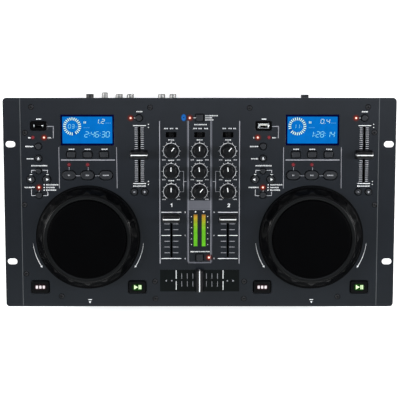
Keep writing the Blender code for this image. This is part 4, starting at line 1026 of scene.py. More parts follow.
# Displays, from the middle of each; a text is its material, words, place and font
LCD_FIELD = (61.2, 32.8, 0.6, 3)
LCD_FIELD_FOOT = -0.4
LCD_RING = (-18.6, 4.6)
LCD_RING_BAND = (9.25, 3.7)
LCD_BARS = 24
LCD_BAR_FOOT = (7.5, 0.46)
LCD_BAR_HEAD = (10.9, 0.66)
LCD_GAP = {"left": 11, "right": 16}
LCD_TEXTS = [
    (LCD_SOFT, {"left": "03", "right": "11"}, (-23.5, 4.6), (2.9, 4.6, 0.5, 4.3, 0.5)),
    (LCD_FAINT, {"left": "4", "right": "4"}, (-14.9, 3.8), (1.5, 2.6, 0.35, 2.0, 0.3)),
    (LCD_PALE, {"left": "1.2", "right": "0.4"}, (10.0, 10.7), (3.6, 5.2, 0.55, 5.2, 0.6)),
    (LCD_SOFT, {"left": "2:46:30", "right": "1:28:14"}, (-3.4, -5.3), (3.9, 6.7, 0.62, 5.45, 0.9))]
LCD_WORDS = [(-4.6, 3.0, 3.0, 1.1), (22.4, 29.0, 8.6, 1.2)]
PAUSE_BAR = (0.85, 2.6)
PAUSE_SPOTS = [(-3.9, 9.4), (-2.1, 9.4)]


def display_ring(x, y, gap):
    """A ring of bars round the track number, with one bar left out."""
    arc(LCD_GAPS, x, y, LCD_RING_BAND[0], 0, 360, LCD_RING_BAND[1], INK / 2, steps=48)
    for i in range(LCD_BARS):
        if i == gap:
            continue
        way = heading(math.radians(90 - i * 360 / LCD_BARS))
        across = Vector((-way.y, way.x))
        corners = [way * reach + across * half * side for (reach, half), side in (
            (LCD_BAR_FOOT, 1), (LCD_BAR_FOOT, -1), (LCD_BAR_HEAD, -1), (LCD_BAR_HEAD, 1))]
        mark(LCD_PALE, [(x + p.x, y + p.y) for p in corners], INK)


def make_displays():
    for side, x0 in SIDES.items():
        cx, cy = x0 + DISPLAY[0], DISPLAY[1]
        field = prisms([outline_at(LCD_FIELD, cx, cy)], LCD_FIELD_FOOT, INK)
        piece(f"display_field_{side}", field, LCD_BLUE, slot="display_glass")
        display_ring(cx + LCD_RING[0], cy + LCD_RING[1], LCD_GAP[side])
        for x, y in PAUSE_SPOTS:
            mark(LCD_PALE, outline_at(PAUSE_BAR, cx + x, cy + y), INK)
        for mat, texts, (x, y), font in LCD_TEXTS:
            digits(mat, texts[side], cx + x, cy + y, font, INK)
        for first, last, y, height in LCD_WORDS:
            label(LCD_FAINT, cx + first, cx + last, cy + y, height, INK)


# Sockets for memory sticks
USB_FRAME = (20.0, 11.4, 2.4, 6)
USB_MOUTH = (13.6, 6.0, 0.4, 3)
USB_FRAME_REACH = (-3.2, -0.9, 0.2)
USB_SHELL = (13.4, 5.8, 0.5, 3)
USB_BORE = (12.4, 4.8, 0.3, 3)
USB_SHELL_REACH = (-14.6, -0.1, 0.08)
USB_TONGUE = (11.0, 1.9, 0.2, 2)
USB_TONGUE_Y = 1.15
USB_TONGUE_REACH = (-13.0, -1.6)
USB_CONTACT = (1.1, 0.12)
USB_CONTACT_X = [i * 2.3 for i in (-1.5, -0.5, 0.5, 1.5)]
USB_CONTACT_Y = 0.16
USB_CONTACT_REACH = (-11.0, -2.0)
USB_SPRING = [(6.15, -1.5), (6.15, 1.6), (4.4, 1.0), (4.4, -0.7)]
USB_SPRING_REACH = (-3.0, -0.3)
USB_FLOOR = (19.6, 11.0, 2.2, 4)
USB_FLOOR_REACH = (-15.0, -14.6)


def make_usb():
    for side, x0 in SIDES.items():
        name = f"usb_socket_{side}"
        x, y = x0 + USB[0], USB[1]
        # The frame and floor are black as painted shade in the opening; the left socket's shell and tongue
        # are dark copies of the right one's, also painted shade
        shell, tongue = (STEEL, INSULATOR_WHITE) if side == "right" else (RECESS, SHADE)
        plate(f"{name}_frame", [outline_at(shape, x, y) for shape in (USB_FRAME, USB_MOUTH)],
              *USB_FRAME_REACH, SHADE, replaces=[name], slot="port_frame")
        plate(f"{name}_shell", [outline_at(shape, x, y) for shape in (USB_SHELL, USB_BORE)],
              *USB_SHELL_REACH, shell, slot="port_frame")
        contacts = [outline_at(USB_CONTACT, x + step, y + USB_CONTACT_Y) for step in USB_CONTACT_X]
        springs = [[(x + end * px, y + py) for px, py in USB_SPRING] for end in ENDS]
        for part, outlines, reach, mat, bevel in (
                ("tongue", [outline_at(USB_TONGUE, x, y + USB_TONGUE_Y)], USB_TONGUE_REACH, tongue, 0.1),
                ("contacts", contacts, USB_CONTACT_REACH, NICKEL, 0.0),
                ("springs", springs, USB_SPRING_REACH, STEEL, 0.1),
                ("floor", [outline_at(USB_FLOOR, x, y)], USB_FLOOR_REACH, SHADE, 0.0)):
            piece(f"{name}_{part}", prisms(outlines, *reach), mat, bevel=bevel, slot="port_frame")


# Rear and front sockets; a sleeve is outer radius, inner radius, low and high end
SEAT = 0.3
PHONO_BLOCK = (size("line_sockets").x, size("line_sockets").z, 0.4, 2)
PHONO_BLOCK_FOOT = -13.8
PHONO_COLLAR = [(4.1, -2.2), (4.1, 0.6), (3.4, 1.0), (3.4, 2.2)]
PHONO_BARREL = (4.15, 3.45, 0.8, 10.0)
PHONO_FLANGE = (4.5, 4.1, 0.2, 1.1)
PHONO_SLEEVE = (3.4, 1.6, 1.5, 8.9)
PHONO_COLOURS = {-1: (INSULATOR_WHITE, "white"), 1: (INSULATOR_RED, "red")}
JACK_BLOCK = (16.0, 16.0, 0.6, 3)
JACK_BLOCK_FOOT = -26.8
JACK_BUSH = (4.7, 3.5, -SHEET - 0.4)
JACK_LENGTHS = {"mic_socket": 10.4, "headphone_socket": 4.0}
JACK_NUT = (8.3, 6)
JACK_NUT_REACH = (0.4, 2.9)
JACK_WASHER = (8.9, 4.8, 0.05, 0.5)


def make_phono_sockets():
    for name in ("line_sockets", "output_sockets"):
        look = {"slot": "socket_plastic", "turn": rear_place(name)}
        bm = prisms([outline_at(PHONO_BLOCK)], PHONO_BLOCK_FOOT, -SHEET - SEAT)
        barrels, sleeves = bmesh.new(), {column: bmesh.new() for column in ENDS}
        for column in ENDS:
            for row in ENDS:
                x, y = column * PHONO_HALF, row * PHONO_HALF
                turned(bm, PHONO_COLLAR, 40, x, y)
                tube(barrels, *PHONO_BARREL, x, y)
                tube(barrels, *PHONO_FLANGE, x, y)
                tube(sleeves[column], *PHONO_SLEEVE, x, y)
        piece(f"{name}_block", bm, SOCKET, bevel=0.2, replaces=[name], **look)
        piece(f"{name}_barrels", barrels, NICKEL, **look)
        for column, (mat, colour) in PHONO_COLOURS.items():
            piece(f"{name}_{colour}_sleeves", sleeves[column], mat, **look)


def make_jacks():
    phones = middle("headphone_socket")
    for name, nut, turn in (("mic_socket", SOCKET, rear_place("mic_socket")),
                            ("headphone_socket", NICKEL, to_front(phones.x, phones.z))):
        look = {"slot": "socket_plastic", "turn": turn}
        bm = prisms([outline_at(JACK_BLOCK)], JACK_BLOCK_FOOT, -SHEET - SEAT)
        tube(bm, *JACK_BUSH, JACK_LENGTHS[name])
        piece(f"{name}_body", bm, SOCKET, bevel=0.15, replaces=[name], **look)
        piece(f"{name}_nut", prisms([circle(*JACK_NUT)], *JACK_NUT_REACH), nut, bevel=0.35, **look)
        bm = bmesh.new()
        tube(bm, *JACK_WASHER)
        piece(f"{name}_washer", bm, NICKEL, **look)


# Ground post, mains inlet and power button
POST_NECK = [(3.8, -4.3), (3.8, -1.8), (2.2, -1.8), (2.2, 4.0)]
POST_RADIUS = 4.0
POST_POINTS = 96
POST_GROOVE = 0.22
POST_END_SHARE = 0.88
POST_H = (4.0, 4.5, 11.7, 12.45)
PIN = (2.0, 4.0, 0.3, 2)
PIN_SPOTS = ((-7, -2), (7, -2), (0, 4))
PIN_REACH = (-15.0, -1.2)
INLET_BACK = (26.9, 19.4, 1.0, 3)
INLET_BACK_REACH = (-20.9, -15.0)
INLET_CUP = [(-12.3, -8.3), (12.3, -8.3), (12.3, 4.3), (8.3, 8.3), (-8.3, 8.3), (-12.3, 4.3)]
INLET_SLEEVE = (27.3, 19.8, 0.6, 2)
INLET_SLEEVE_REACH = (-15.2, 0.6, 0.2)
INLET_LIP = (33.2, 25.8, 2.0, 4)
INLET_LIP_REACH = (0.35, 2.1, 0.35)
BUTTON_CAP = (9.2, 9.2, 0.8)
BUTTON_CAP_REACH = (-1.8, 9.55, 0.6)
BUTTON_FLANGE = (12.8, 12.8, 0.4, 2)
BUTTON_FLANGE_REACH = (-3.8, -1.8)


def make_ground_post():
    bm = bmesh.new()
    turned(bm, POST_NECK, 40)
    ribs = [circle(POST_RADIUS - POST_GROOVE * (i % 4 in (1, 2)), POST_POINTS)[i] for i in range(POST_POINTS)]
    inner = [(x * POST_END_SHARE, y * POST_END_SHARE) for x, y in ribs]
    loft(bm, list(zip((inner, ribs, ribs, inner), POST_H)))
    piece("ground_post_screw", bm, NICKEL, replaces=["ground_post"], slot="post_metal",
          turn=rear_place("ground_post"), angle=30)


def make_inlet():
    look = {"slot": "socket_plastic", "turn": rear_place("power_inlet")}
    pins = prisms([outline_at(PIN, x, y) for x, y in PIN_SPOTS], *PIN_REACH)
    piece("inlet_pins", pins, NICKEL, bevel=0.3, **look)
    back = prisms([outline_at(INLET_BACK)], *INLET_BACK_REACH)
    piece("inlet_back", back, SOCKET, bevel=0.3, replaces=["power_inlet"], **look)
    plate("inlet_sleeve", [outline_at(INLET_SLEEVE), INLET_CUP], *INLET_SLEEVE_REACH, SOCKET, **look)
    plate("inlet_lip", [outline_at(INLET_LIP), INLET_CUP], *INLET_LIP_REACH, SOCKET, **look)


def make_power_button():
    bm = bmesh.new()
    domed(bm, growing(BUTTON_CAP), *BUTTON_CAP_REACH)
    prism(bm, outline_at(BUTTON_FLANGE), *BUTTON_FLANGE_REACH)
    piece("power_button_cap", bm, KEY, "power_button", replaces=["power_button"], slot="control_cap",
          turn=rear_place("power_button"), angle=40)


# Print of a deck, in the photograph's pixels on the left deck; words are (u from, u to, v)
DECK_WORDS = {
    "disc light": (28.2, 31.2, 137.8), "card light": (47.2, 51.2, 137.8), "select": (25.2, 33.4, 146.5),
    "eject": (26.6, 33.6, 158.8), "search": (31.2, 47.2, 165.7), "jog mode": (24.6, 35.0, 187.4),
    "first mode": (46.2, 58.4, 184.8), "second mode": (46.2, 55.0, 187.5), "third mode": (46.2, 56.2, 190.1),
    "left display key": (68.6, 74.4, 149.3), "middle display key": (84.6, 90.4, 149.3),
    "right display key": (101.6, 107.4, 149.3), "pitch key": (136.2, 142.5, 111.7),
    "pitch fader": (133.2, 146.0, 186.1)}
DECK_LINES = {
    "port mark": (WHITE, 1.1, [(36.2, 119.1), (41.0, 119.1)]),
    "port bracket": (PALE, 0.75, [(47.0, 126.4), (53.3, 126.4), (53.3, 138.2)]),
    "search bracket left": (SOFT, 0.65, [(31.5, 173.0), (31.5, 170.3), (36.0, 170.3)]),
    "search bracket right": (SOFT, 0.65, [(42.2, 170.3), (47.5, 170.3), (47.5, 173.0)]),
    "search dash left": (WHITE, 0.8, [(29.8, 174.6), (32.2, 174.6)]),
    "search dash right": (WHITE, 0.8, [(46.3, 174.6), (48.7, 174.6)]),
    "jog lamp stem": (WHITE, 0.6, [(39.4, 189.6), (39.4, 191.4)]),
    "jog bracket left": (SOFT, 0.65, [(31.5, 189.6), (31.5, 195.6), (35.6, 195.6)]),
    "jog bracket right": (SOFT, 0.65, [(43.2, 195.6), (47.8, 195.6), (47.8, 191.6)]),
    "left rule": (PALE, 0.65, [(58.8, 147.3), (59.5, 188.3)]),
    "right rule": (PALE, 0.65, [(116.5, 147.3), (117.2, 188.3)]),
    "cross rule": (PALE, 1.2, [(61.0, 160.0), (115.0, 160.0)]),
    "loop stem left": (PALE, 0.6, [(69.2, 167.2), (69.2, 170.2)]),
    "loop stem right": (PALE, 0.6, [(88.2, 167.2), (88.2, 170.2)]),
    "loop dash left": (PALE, 0.7, [(75.6, 175.8), (80.2, 175.8)]),
    "loop dash right": (PALE, 0.7, [(95.2, 175.8), (99.3, 175.8)]),
    "pitch lamp dash": (WHITE, 0.7, [(133.2, 118.0), (135.2, 118.0)]),
    "pitch scale top": (WHITE, 0.9, [(133.0, 125.6), (146.0, 125.6)]),
    "pitch scale foot": (WHITE, 0.9, [(133.2, 183.5), (146.0, 183.5)])}
MODE_DOTS = [(44.2, 184.8), (44.2, 187.5), (44.2, 190.1)]
MODE_DOT = 0.75
BEND_ARROWS = [(148.4, 124.4, 90), (148.4, 127.4, -90), (148.4, 181.4, 90), (148.4, 184.4, -90)]
BEND_ARROW = 0.95
DISC_MARK = (90.0, 299.7)
DISC_MARK_BAR = (4.6, 1.0)
DISC_MARK_BAR_Y = 0.2
DISC_MARK_HEAD = 1.7
DISC_MARK_HEAD_Y = -2.8
PITCH_TICKS = 27
PITCH_TICK_STEP = 2.53
PITCH_TICK_TOP = 93.2
PITCH_TICK = (3.7, 0.62)
PITCH_CENTRE_TICK = (4.4, 0.62)
PITCH_TICK_FROM = 1.9
JOG_ARROW = 69.0
JOG_ARROW_STEPS = 24
JOG_ARROW_FROM = 6.3
JOG_ARROW_SWEEP = 25.2
JOG_ARROW_HALF = 0.12
JOG_ARROW_SWELL = 0.34
JOG_ARROW_HEAD = 1.7
JOG_ARROW_HEAD_PAST = 0.8
JOG_ARROW_HEAD_WAY = {-1: -57, 1: -123}


def jog_arrow(cx, side):
    """A line that swells along the wheel's edge and ends in a small head."""
    edges = []
    for i in range(JOG_ARROW_STEPS + 1):
        share = i / JOG_ARROW_STEPS
        way = heading(math.radians(-JOG_ARROW_FROM - JOG_ARROW_SWEEP * share))
        half = JOG_ARROW_HALF + JOG_ARROW_SWELL * share
        edges.append([(cx + side * r * way.x, JOG_Y + r * way.y)
                      for r in (JOG_ARROW + half, JOG_ARROW - half)])
    for (a, b), (c, d) in zip(edges, edges[1:]):
        mark(WHITE, [a, b, d, c])
    tip = heading(math.radians(-JOG_ARROW_FROM - JOG_ARROW_SWEEP - JOG_ARROW_HEAD_PAST)) * JOG_ARROW
    triangle(WHITE, cx + side * tip.x, JOG_Y + tip.y, JOG_ARROW_HEAD, JOG_ARROW_HEAD_WAY[side])


def words(places, dx=0.0, height=WORD_HEIGHT):
    for u0, u1, v in places.values():
        (x0, y), (x1, _) = spot(u0, v), spot(u1, v)
        label(WHITE, x0 + dx, x1 + dx, y, height)


def pitch_scale(x):
    for i in range(PITCH_TICKS):
        centre = i == PITCH_TICKS // 2
        mat, tick = (WHITE, PITCH_CENTRE_TICK) if centre else (SOFT, PITCH_TICK)
        for side in ENDS:
            out = side * (PITCH_TICK_FROM + tick[0] / 2)
            mark(mat, outline_at(tick, x + out, PITCH_TICK_TOP - i * PITCH_TICK_STEP))


def deck_print():
    for dx in (0.0, 2 * DECK_X):
        words(DECK_WORDS, dx)
        for mat, width, pixels in DECK_LINES.values():
            stroke(mat, shifted([spot(u, v) for u, v in pixels], dx), width)
        for x, y in shifted([spot(u, v) for u, v in MODE_DOTS], dx):
            mark(WHITE, circle(MODE_DOT, DOT_SIDES, x, y))
        for u, v, way in BEND_ARROWS:
            x, y = spot(u, v)
            triangle(WHITE, x + dx, y, BEND_ARROW, way)
        pitch_scale(PITCH[0] - DECK_X + dx)
        for side in ENDS:
            jog_arrow(dx - DECK_X, side)
        x, y = spot(*DISC_MARK)
        mark(WHITE, outline_at(DISC_MARK_BAR, x + dx, y + DISC_MARK_BAR_Y))
        triangle(WHITE, x + dx, y + DISC_MARK_HEAD_Y, DISC_MARK_HEAD, -90)


# Print round the knobs: half length, distance and height of the word above and of those at the ends
ARC_RADIUS = 9.75
ARC_ENDS = (-57, 237)
ARC_WIDTH = 0.46
ARC_TICKS = 11
TICK_ENDS = (-60, 240)
TICK_REACH = (9.8, 11.7)
TICK_WIDTH = 0.6
KNOB_WORD = (3.6, 13.6, 1.35)
KNOB_END_X = 9.0
KNOB_END_WORD = (2.1, 10.3, 1.25)
KNOB_DROP_SHARE = 0.028


def knob_print(name):
    """The ring, ticks and words round a knob."""
    x, y, _ = middle(f"knob_{name}")
    arc(WHITE, x, y, ARC_RADIUS, *ARC_ENDS, ARC_WIDTH, steps=60)
    first, last = TICK_ENDS
    for i in range(1, ARC_TICKS - 1):
        way = heading(math.radians(first + (last - first) * i / (ARC_TICKS - 1)))
        ends = [Vector((x, y)) + way * reach for reach in TICK_REACH]
        stroke(WHITE if i == ARC_TICKS // 2 else SOFT, ends, TICK_WIDTH)
    half, rise, height = KNOB_WORD
    label(WHITE, x - half, x + half, y + rise, height)
    half, drop, height = KNOB_END_WORD
    drop += (y - middle("knob_cue_mix").y) * KNOB_DROP_SHARE
    for side in ENDS:
        label(SOFT, x + side * KNOB_END_X - half, x + side * KNOB_END_X + half, y - drop, height)


# Print beside the channel faders; a tick is its far end, material and width
SCALE_HALF = 29.0
SCALE_STEPS = 8
SCALE_TICK_FROM = 1.9
MAIN_TICK = (12.3, WHITE, 0.8)
SMALL_TICK = (8.6, PALE, 0.7)
END_TICK = (2.2, 0.9)
SCALE_DIGITS = {"9": SCALE_HALF, "5": 0.0, "0": -SCALE_HALF}
SCALE_DIGIT_X = 17.9
SCALE_FONT = (0.9, 1.5, 0.4, 2.0, 0.0)
SCALE_DIGIT_SHIFT = 0.5


def fader_scale(side):
    """The ticks and numbers beside a channel fader."""
    x = side * COLUMN
    for i in range(SCALE_STEPS + 1):
        y = CHANNEL_Y + SCALE_HALF - i * 2 * SCALE_HALF / SCALE_STEPS
        far, mat, width = MAIN_TICK if i % (SCALE_STEPS // 2) == 0 else SMALL_TICK
        for end in ENDS:
            stroke(mat, [(x + end * SCALE_TICK_FROM, y), (x + end * far, y)], width)
    reach, width = END_TICK
    for y in (SCALE_HALF, -SCALE_HALF):
        stroke(WHITE, [(x + way * reach, CHANNEL_Y + y) for way in ENDS], width)
    for digit, y in SCALE_DIGITS.items():
        digits(SOFT, digit, side * SCALE_DIGIT_X - SCALE_DIGIT_SHIFT, CHANNEL_Y + y, SCALE_FONT)


# Field of the crossfader, with its ticks as above
CROSS_FIELD = (98.6, 27.4, 0.6, 3)
CROSS_FIELD_Y = -0.8
CROSS_TICKS = [8.4 + 6.93 * i for i in range(4)]
CROSS_TICK_FROM = 1.5
CROSS_MAIN_TICK = (12.4, WHITE, 0.8)
CROSS_SMALL_TICK = (8.3, PALE, 0.6)
CROSS_SIGN_Y = -1.0
CROSS_DOT = (34.6, 0.8)
CROSS_ARROW = (41.6, 1.4)


def cross_print():
    """The dark field of the crossfader with its ticks and end signs."""
    mark(GLOSS, outline_at(CROSS_FIELD, 0.0, CROSS_Y + CROSS_FIELD_Y))
    dot, arrow = CROSS_DOT, CROSS_ARROW
    for side in ENDS:
        for x in CROSS_TICKS:
            reach, mat, width = CROSS_MAIN_TICK if x == CROSS_TICKS[-1] else CROSS_SMALL_TICK
            for end in ENDS:
                ends = [(side * x, CROSS_Y + end * y) for y in (CROSS_TICK_FROM, reach)]
                stroke(mat, ends, width, INK)
        mark(PALE, circle(dot[1], DOT_SIDES, side * dot[0], CROSS_Y + CROSS_SIGN_Y), INK)
        triangle(PALE, side * arrow[0], CROSS_Y + CROSS_SIGN_Y, arrow[1], 90 - side * 90, INK)


# Rest of the mixer's print, in the photograph's pixels or in panel millimetres
MIXER_WORDS = {
    "cue select": (194.2, 206.8, 124.6), "first source": (164.2, 168.0, 128.5),
    "second source": (169.8, 173.4, 128.5), "third source": (175.6, 178.0, 128.5),
    "first cue": (193.2, 197.0, 128.5), "second cue": (198.4, 201.8, 128.5),
    "third cue": (204.2, 208.0, 128.5),
    "fourth source": (222.4, 226.0, 128.5), "fifth source": (228.4, 231.8, 128.5),
    "sixth source": (233.2, 236.0, 128.5), "pairing top": (205.2, 217.8, 115.7),
    "pairing middle": (205.2, 212.2, 117.8), "pairing foot": (205.2, 213.6, 119.9),
    "fader start": (190.6, 209.8, 251.6)}
MIXER_WORD_HEIGHT = 1.35
PAIRING_DASH = [(193.0, 117.8), (196.0, 117.8)]
PAIRING_DASH_WIDTH = 0.7
BLUE_MARK = (183.7, 117.6)
BLUE_OVALS = [(MARK_HALO, 3.4, 4.7, 0.0, 40), (MARK_BLUE, 2.7, 3.9, INK, 40),
              (MARK_HALO, 0.9, 0.9, 2 * INK, 20)]
CHANNEL_MARKS = {"1": (171.8, 205.4), "2": (228.8, 205.4)}
CHANNEL_DIGITS = {
    "1": [(-1.3, 1.0), (0.15, 2.0), (0.15, -2.0)],
    "2": [(-1.25, 0.9), (-0.85, 1.7), (0.0, 2.0), (0.95, 1.6), (1.15, 0.85), (0.7, 0.05), (-1.25, -1.7),
          (1.4, -1.7)]}
CHANNEL_DIGIT_WIDTH = 0.95
METER_MARK_V = 216.5
METER_MARK_STEP = 5.6
METER_MARKS = 6
METER_MARK = (1.1, 0.8)
METER_MARK_X = 10.0
METER_DOT_V = 211.8
METER_DOT = 0.9
FRAME_X = 49.1
FRAME_ENDS = (101.7, -75.6)
FRAME_WIDTH = 0.95
RAIL_X = 14.5
RAIL_ENDS = (101.9, -75.2)
RAIL_WIDTH = 1.9
RAIL_END = RAIL_X + RAIL_WIDTH / 2
RAIL_FOOT = (RAIL_ENDS[1] + 0.8, 1.7)
# Pale lines painted as highlights along the rail and along the foot of the block
RAIL_SHINE_X = RAIL_X - 1.0
SHINE_WIDTH = 0.3
BLOCK_Y = -2.4
BLOCK_DEPTH = 11.6
BLOCK_SHINE_X = RAIL_X - 1.1
BRACKET_X = 19.7
BRACKET_ARM = 2.6
BRACKET_TAIL = 3.6
BRACKET_WIDTH = 0.7
EAR_LINE = (129.7, 0.85)


def meter_print(side):
    """The dot over a meter and the marks beside it."""
    over = spot(MIDDLE_PX[0], METER_DOT_V)[1]
    mark(WHITE, circle(METER_DOT, DOT_SIDES, side * METER_PLACE[0], over))
    for i in range(METER_MARKS):
        y = spot(MIDDLE_PX[0], METER_MARK_V + i * METER_MARK_STEP)[1]
        mark(WHITE, outline_at(METER_MARK, side * METER_MARK_X, y))


def knob_frame(side):
    """The rule, the rail and the bracket at one side of the knobs, and the fold line at the ear."""
    stroke(PALE, [(side * FRAME_X, y) for y in FRAME_ENDS], FRAME_WIDTH)
    stroke(GREY, [(side * RAIL_X, y) for y in RAIL_ENDS], RAIL_WIDTH)
    stroke(PALE, [(side * RAIL_SHINE_X, y) for y in RAIL_ENDS], SHINE_WIDTH, INK)
    x, high, low = side * BRACKET_X, middle("knob_high_1").y, middle("knob_low_1").y
    arm, tail, centre = x + side * BRACKET_ARM, x - side * BRACKET_TAIL, (high + low) / 2
    stroke(PALE, [(arm, high), (x, high), (x, low), (arm, low)], BRACKET_WIDTH)
    stroke(PALE, [(x, centre), (tail, centre)], BRACKET_WIDTH)
    reach, width = EAR_LINE
    stroke(FAINT, [(side * EAR, -reach), (side * EAR, reach)], width)


def mixer_print():
    words(MIXER_WORDS, height=MIXER_WORD_HEIGHT)
    for side in ENDS:
        knob_frame(side)
        fader_scale(side)
        meter_print(side)
    foot, width = RAIL_FOOT
    stroke(GREY, [(side * RAIL_END, foot) for side in ENDS], width)
    mark(GREY, box(2 * RAIL_X - RAIL_WIDTH, BLOCK_DEPTH, 0.0, BLOCK_Y))
    stroke(PALE, [(side * BLOCK_SHINE_X, BLOCK_Y - BLOCK_DEPTH / 2) for side in ENDS], SHINE_WIDTH)
    stroke(WHITE, [spot(u, v) for u, v in PAIRING_DASH], PAIRING_DASH_WIDTH)
    x, y = spot(*BLUE_MARK)
    for mat, wide, deep, h, sides in BLUE_OVALS:
        mark(mat, [(x + wide * p, y + deep * q) for p, q in circle(1.0, sides)], h)
    for name in KNOB_TURNS:
        knob_print(name)
    for digit, points in CHANNEL_DIGITS.items():
        stroke(WHITE, shifted(points, *spot(*CHANNEL_MARKS[digit])), CHANNEL_DIGIT_WIDTH)
    cross_print()


# Signs on the keys
EJECT_HEAD = (0.5, 1.5)
EJECT_BAR = (2.6, 0.55)
EJECT_BAR_Y = -1.25
SEARCH_HEAD = 2.0
SEARCH_LEADS = {"back": (-0.9, 180), "forward": (0.5, 0)}
LOOP_WORDS = (2.8, 4.2, 7.6)
LOOP_WORD_HEIGHT = 1.4
BEND_BAR = (2.6, 0.65)
BEND_STROKE = BEND_BAR[::-1]
BEND_STROKE_LIFT = 0.004
CUE_GLOW = (14.6, 6.8, 2.6, 5)
CUE_BLOCK = (2.9, 3.9, 0.7, 2)
CUE_STEP = 4.3
PLAY_GLOW = (13.2, 8.0, 3.0, 5)
PLAY_HEAD = (-2.3, 3.3)
PAUSE_KEY_BAR = (1.35, 5.2)
PAUSE_KEY_X = (2.4, 4.4)


def key_legends():
    for side, x0 in SIDES.items():
        body = f"select_keys_{side}"
        x, y, _ = ROUND_KEYS["eject"]
        rise, reach = EJECT_HEAD
        triangle(WHITE, x0 + x, y + rise, reach, 90, KEY_TOP, body)
        mark(WHITE, outline_at(EJECT_BAR, x0 + x, y + EJECT_BAR_Y), KEY_TOP, body)
        for key, (lead, way) in SEARCH_LEADS.items():
            x, y, _ = ROUND_KEYS[key]
            triangle(WHITE, x0 + x + lead, y, SEARCH_HEAD, way, KEY_TOP, f"search_keys_{side}")
        for (x, y), wide in zip(LOOP_KEYS, LOOP_WORDS):
            first, last = (x0 + x + end * wide / 2 for end in ENDS)
            label(SOFT, first, last, y, LOOP_WORD_HEIGHT, KEY_TOP, f"loop_keys_{side}")
        body = f"bend_keys_{side}"
        for key in ("bend_down", "bend_up"):
            x, y, _ = ROUND_KEYS[key]
            mark(SOFT, outline_at(BEND_BAR, x0 + x, y), KEY_TOP, body)
        mark(SOFT, outline_at(BEND_STROKE, x0 + x, y), KEY_TOP + BEND_STROKE_LIFT, body)
        x, y = PADS["cue"]
        body = f"cue_key_{side}"
        mark(RED_GLOW, outline_at(CUE_GLOW, x0 + x, y), KEY_TOP - INK, body)
        for i in (-1, 0, 1):
            mark(LEGEND_WHITE, outline_at(CUE_BLOCK, x0 + x + i * CUE_STEP, y), KEY_TOP, body)
        x, y = PADS["play"]
        body = f"play_key_{side}"
        mark(GREEN_GLOW, outline_at(PLAY_GLOW, x0 + x, y), KEY_TOP - INK, body)
        lead, reach = PLAY_HEAD
        triangle(LEGEND_GREEN, x0 + x + lead, y, reach, 0, KEY_TOP, body)
        for dx in PAUSE_KEY_X:
            mark(LEGEND_GREEN, outline_at(PAUSE_KEY_BAR, x0 + x + dx, y), KEY_TOP, body)


# Nodes that stay in view
NODE_LOOKS = {"base_tray": BODY, "control_board": BOARD, "power_supply": SUPPLY, "display_left": LCD_EDGE,
              "display_right": LCD_EDGE, "disc_drive_left": ZINC, "disc_drive_right": ZINC}


def dress_nodes():
    for name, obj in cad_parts.items():
        mat = NODE_LOOKS.get(name, SOCKET)
        if not obj.data.materials:
            obj.data.materials.append(mat)
        for slot in obj.material_slots:
            slot.material = mat


# Floor and light, in metres; a lamp is its place, aim, size, power and colour
FLOOR_GLOW = 0.60
FLOOR_HALF = 6.0
FLOOR_H = -0.0006
FLOOR_LOOK = {"Base Color": (0.82, 0.82, 0.82), "Roughness": 0.9, "Specular IOR Level": 0.1,
              "Emission Color": (1.0, 1.0, 1.0)}
ROOM_COLOUR = (0.94, 0.96, 1.0)
ROOM_LIGHT = 0.14
MIRRORED = (1.0, 0.10, 0.30, 0.75)
WHITE_LIGHT = (1.0, 1.0, 1.0)
LAMPS = {"key_left": ((-0.90, 0.15, 0.66), (-0.08, 0.0, 0.08), (0.22, 0.36), 9.0, WHITE_LIGHT),
         "key_right": ((0.90, 0.15, 0.66), (0.08, 0.0, 0.08), (0.22, 0.36), 9.0, WHITE_LIGHT),
         "top": ((0.28, 0.27, 1.75), (0.28, 0.25, 0.05), (1.5, 0.5), 7.0, (0.86, 0.93, 1.0)),
         "front": ((0.05, -0.72, 1.65), (0.05, -0.70, 0.05), (1.5, 0.4), 5.0, (0.92, 1.0, 0.98)),
         "low_front": ((0.0, -1.50, 0.50), (0.0, 0.0, 0.05), (1.6, 0.4), 8.0, (0.95, 1.0, 1.0))}


def ray_share(tree, *kinds):
    """One for rays of any of these kinds, and zero for others."""
    path = tree.nodes.new("ShaderNodeLightPath")
    total = path.outputs[f"Is {kinds[0]} Ray"]
    for kind in kinds[1:]:
        total = add_node(tree, "Math", "Value", (total, path.outputs[f"Is {kind} Ray"]), operation="MAXIMUM")
    return total


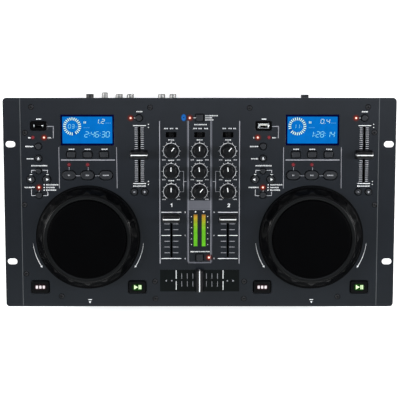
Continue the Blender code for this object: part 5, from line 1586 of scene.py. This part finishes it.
def make_floor():
    bm = bmesh.new()
    bmesh.ops.create_grid(bm, x_segments=1, y_segments=1, size=FLOOR_HALF)
    mesh = bpy.data.meshes.new("floor")
    bm.to_mesh(mesh)
    bm.free()
    floor = bpy.data.objects.new("floor", mesh)
    floor.location = (0.0, 0.0, FLOOR_H)
    bpy.context.scene.collection.objects.link(floor)
    mat = bpy.data.materials.new("floor_white")
    mat.use_nodes = True
    tree = mat.node_tree
    shader = tree.nodes["Principled BSDF"]
    for key, value in FLOOR_LOOK.items():
        feed(tree, shader.inputs[key], value)
    seen = ray_share(tree, "Camera", "Glossy", "Transmission")
    level = add_node(tree, "Math", "Value", (seen, FLOOR_GLOW), operation="MULTIPLY")
    feed(tree, shader.inputs["Emission Strength"], level)
    mesh.materials.append(mat)


def make_world():
    """White to the camera, white low down and dimmer overhead in reflections, soft light elsewhere."""
    world = bpy.data.worlds.new("world")
    bpy.context.scene.world = world
    world.use_nodes = True
    tree = world.node_tree
    place = add_node(tree, "TexCoord", "Generated")
    height = add_node(tree, "SeparateXYZ", "Z", {"Vector": place})
    room = tree.nodes["Background"]
    feed(tree, room.inputs["Color"], ROOM_COLOUR)
    feed(tree, room.inputs["Strength"], ROOM_LIGHT)
    mirrored = add_node(tree, "Background", "Background", {
        "Color": WHITE_LIGHT, "Strength": add_range(tree, height, *MIRRORED)})
    white = add_node(tree, "Background", "Background", {"Color": WHITE_LIGHT})
    bounced = ray_share(tree, "Glossy", "Transmission")
    near = add_node(tree, "MixShader", "Shader", (bounced, room.outputs["Background"], mirrored))
    whole = add_node(tree, "MixShader", "Shader", (ray_share(tree, "Camera"), near, white))
    feed(tree, tree.nodes["World Output"].inputs["Surface"], whole)


def make_lights():
    for name, (place, aim, spread, power, colour) in LAMPS.items():
        data = bpy.data.lights.new(name, "AREA")
        data.shape = "RECTANGLE"
        data.size, data.size_y = spread
        data.energy = power
        data.color = colour
        obj = bpy.data.objects.new(name, data)
        obj.location = place
        obj.rotation_euler = (Vector(aim) - Vector(place)).to_track_quat("-Z", "Y").to_euler()
        bpy.context.scene.collection.objects.link(obj)


make_camera()
make_panel()
make_walls()
make_body_screws()
piece("feet_rubber", spun(FOOT_PROFILE, 64, FOOT_SPOTS), RUBBER, slot="body_paint")
make_jogs()
make_keys()
make_knobs()
make_faders()
make_lamps()
make_meters()
make_displays()
make_usb()
make_phono_sockets()
make_jacks()
make_ground_post()
make_inlet()
make_power_button()
deck_print()
mixer_print()
key_legends()
make_inks()
dress_nodes()
make_floor()
make_world()
make_lights()
bpy.context.scene.view_settings.view_transform = "Standard"
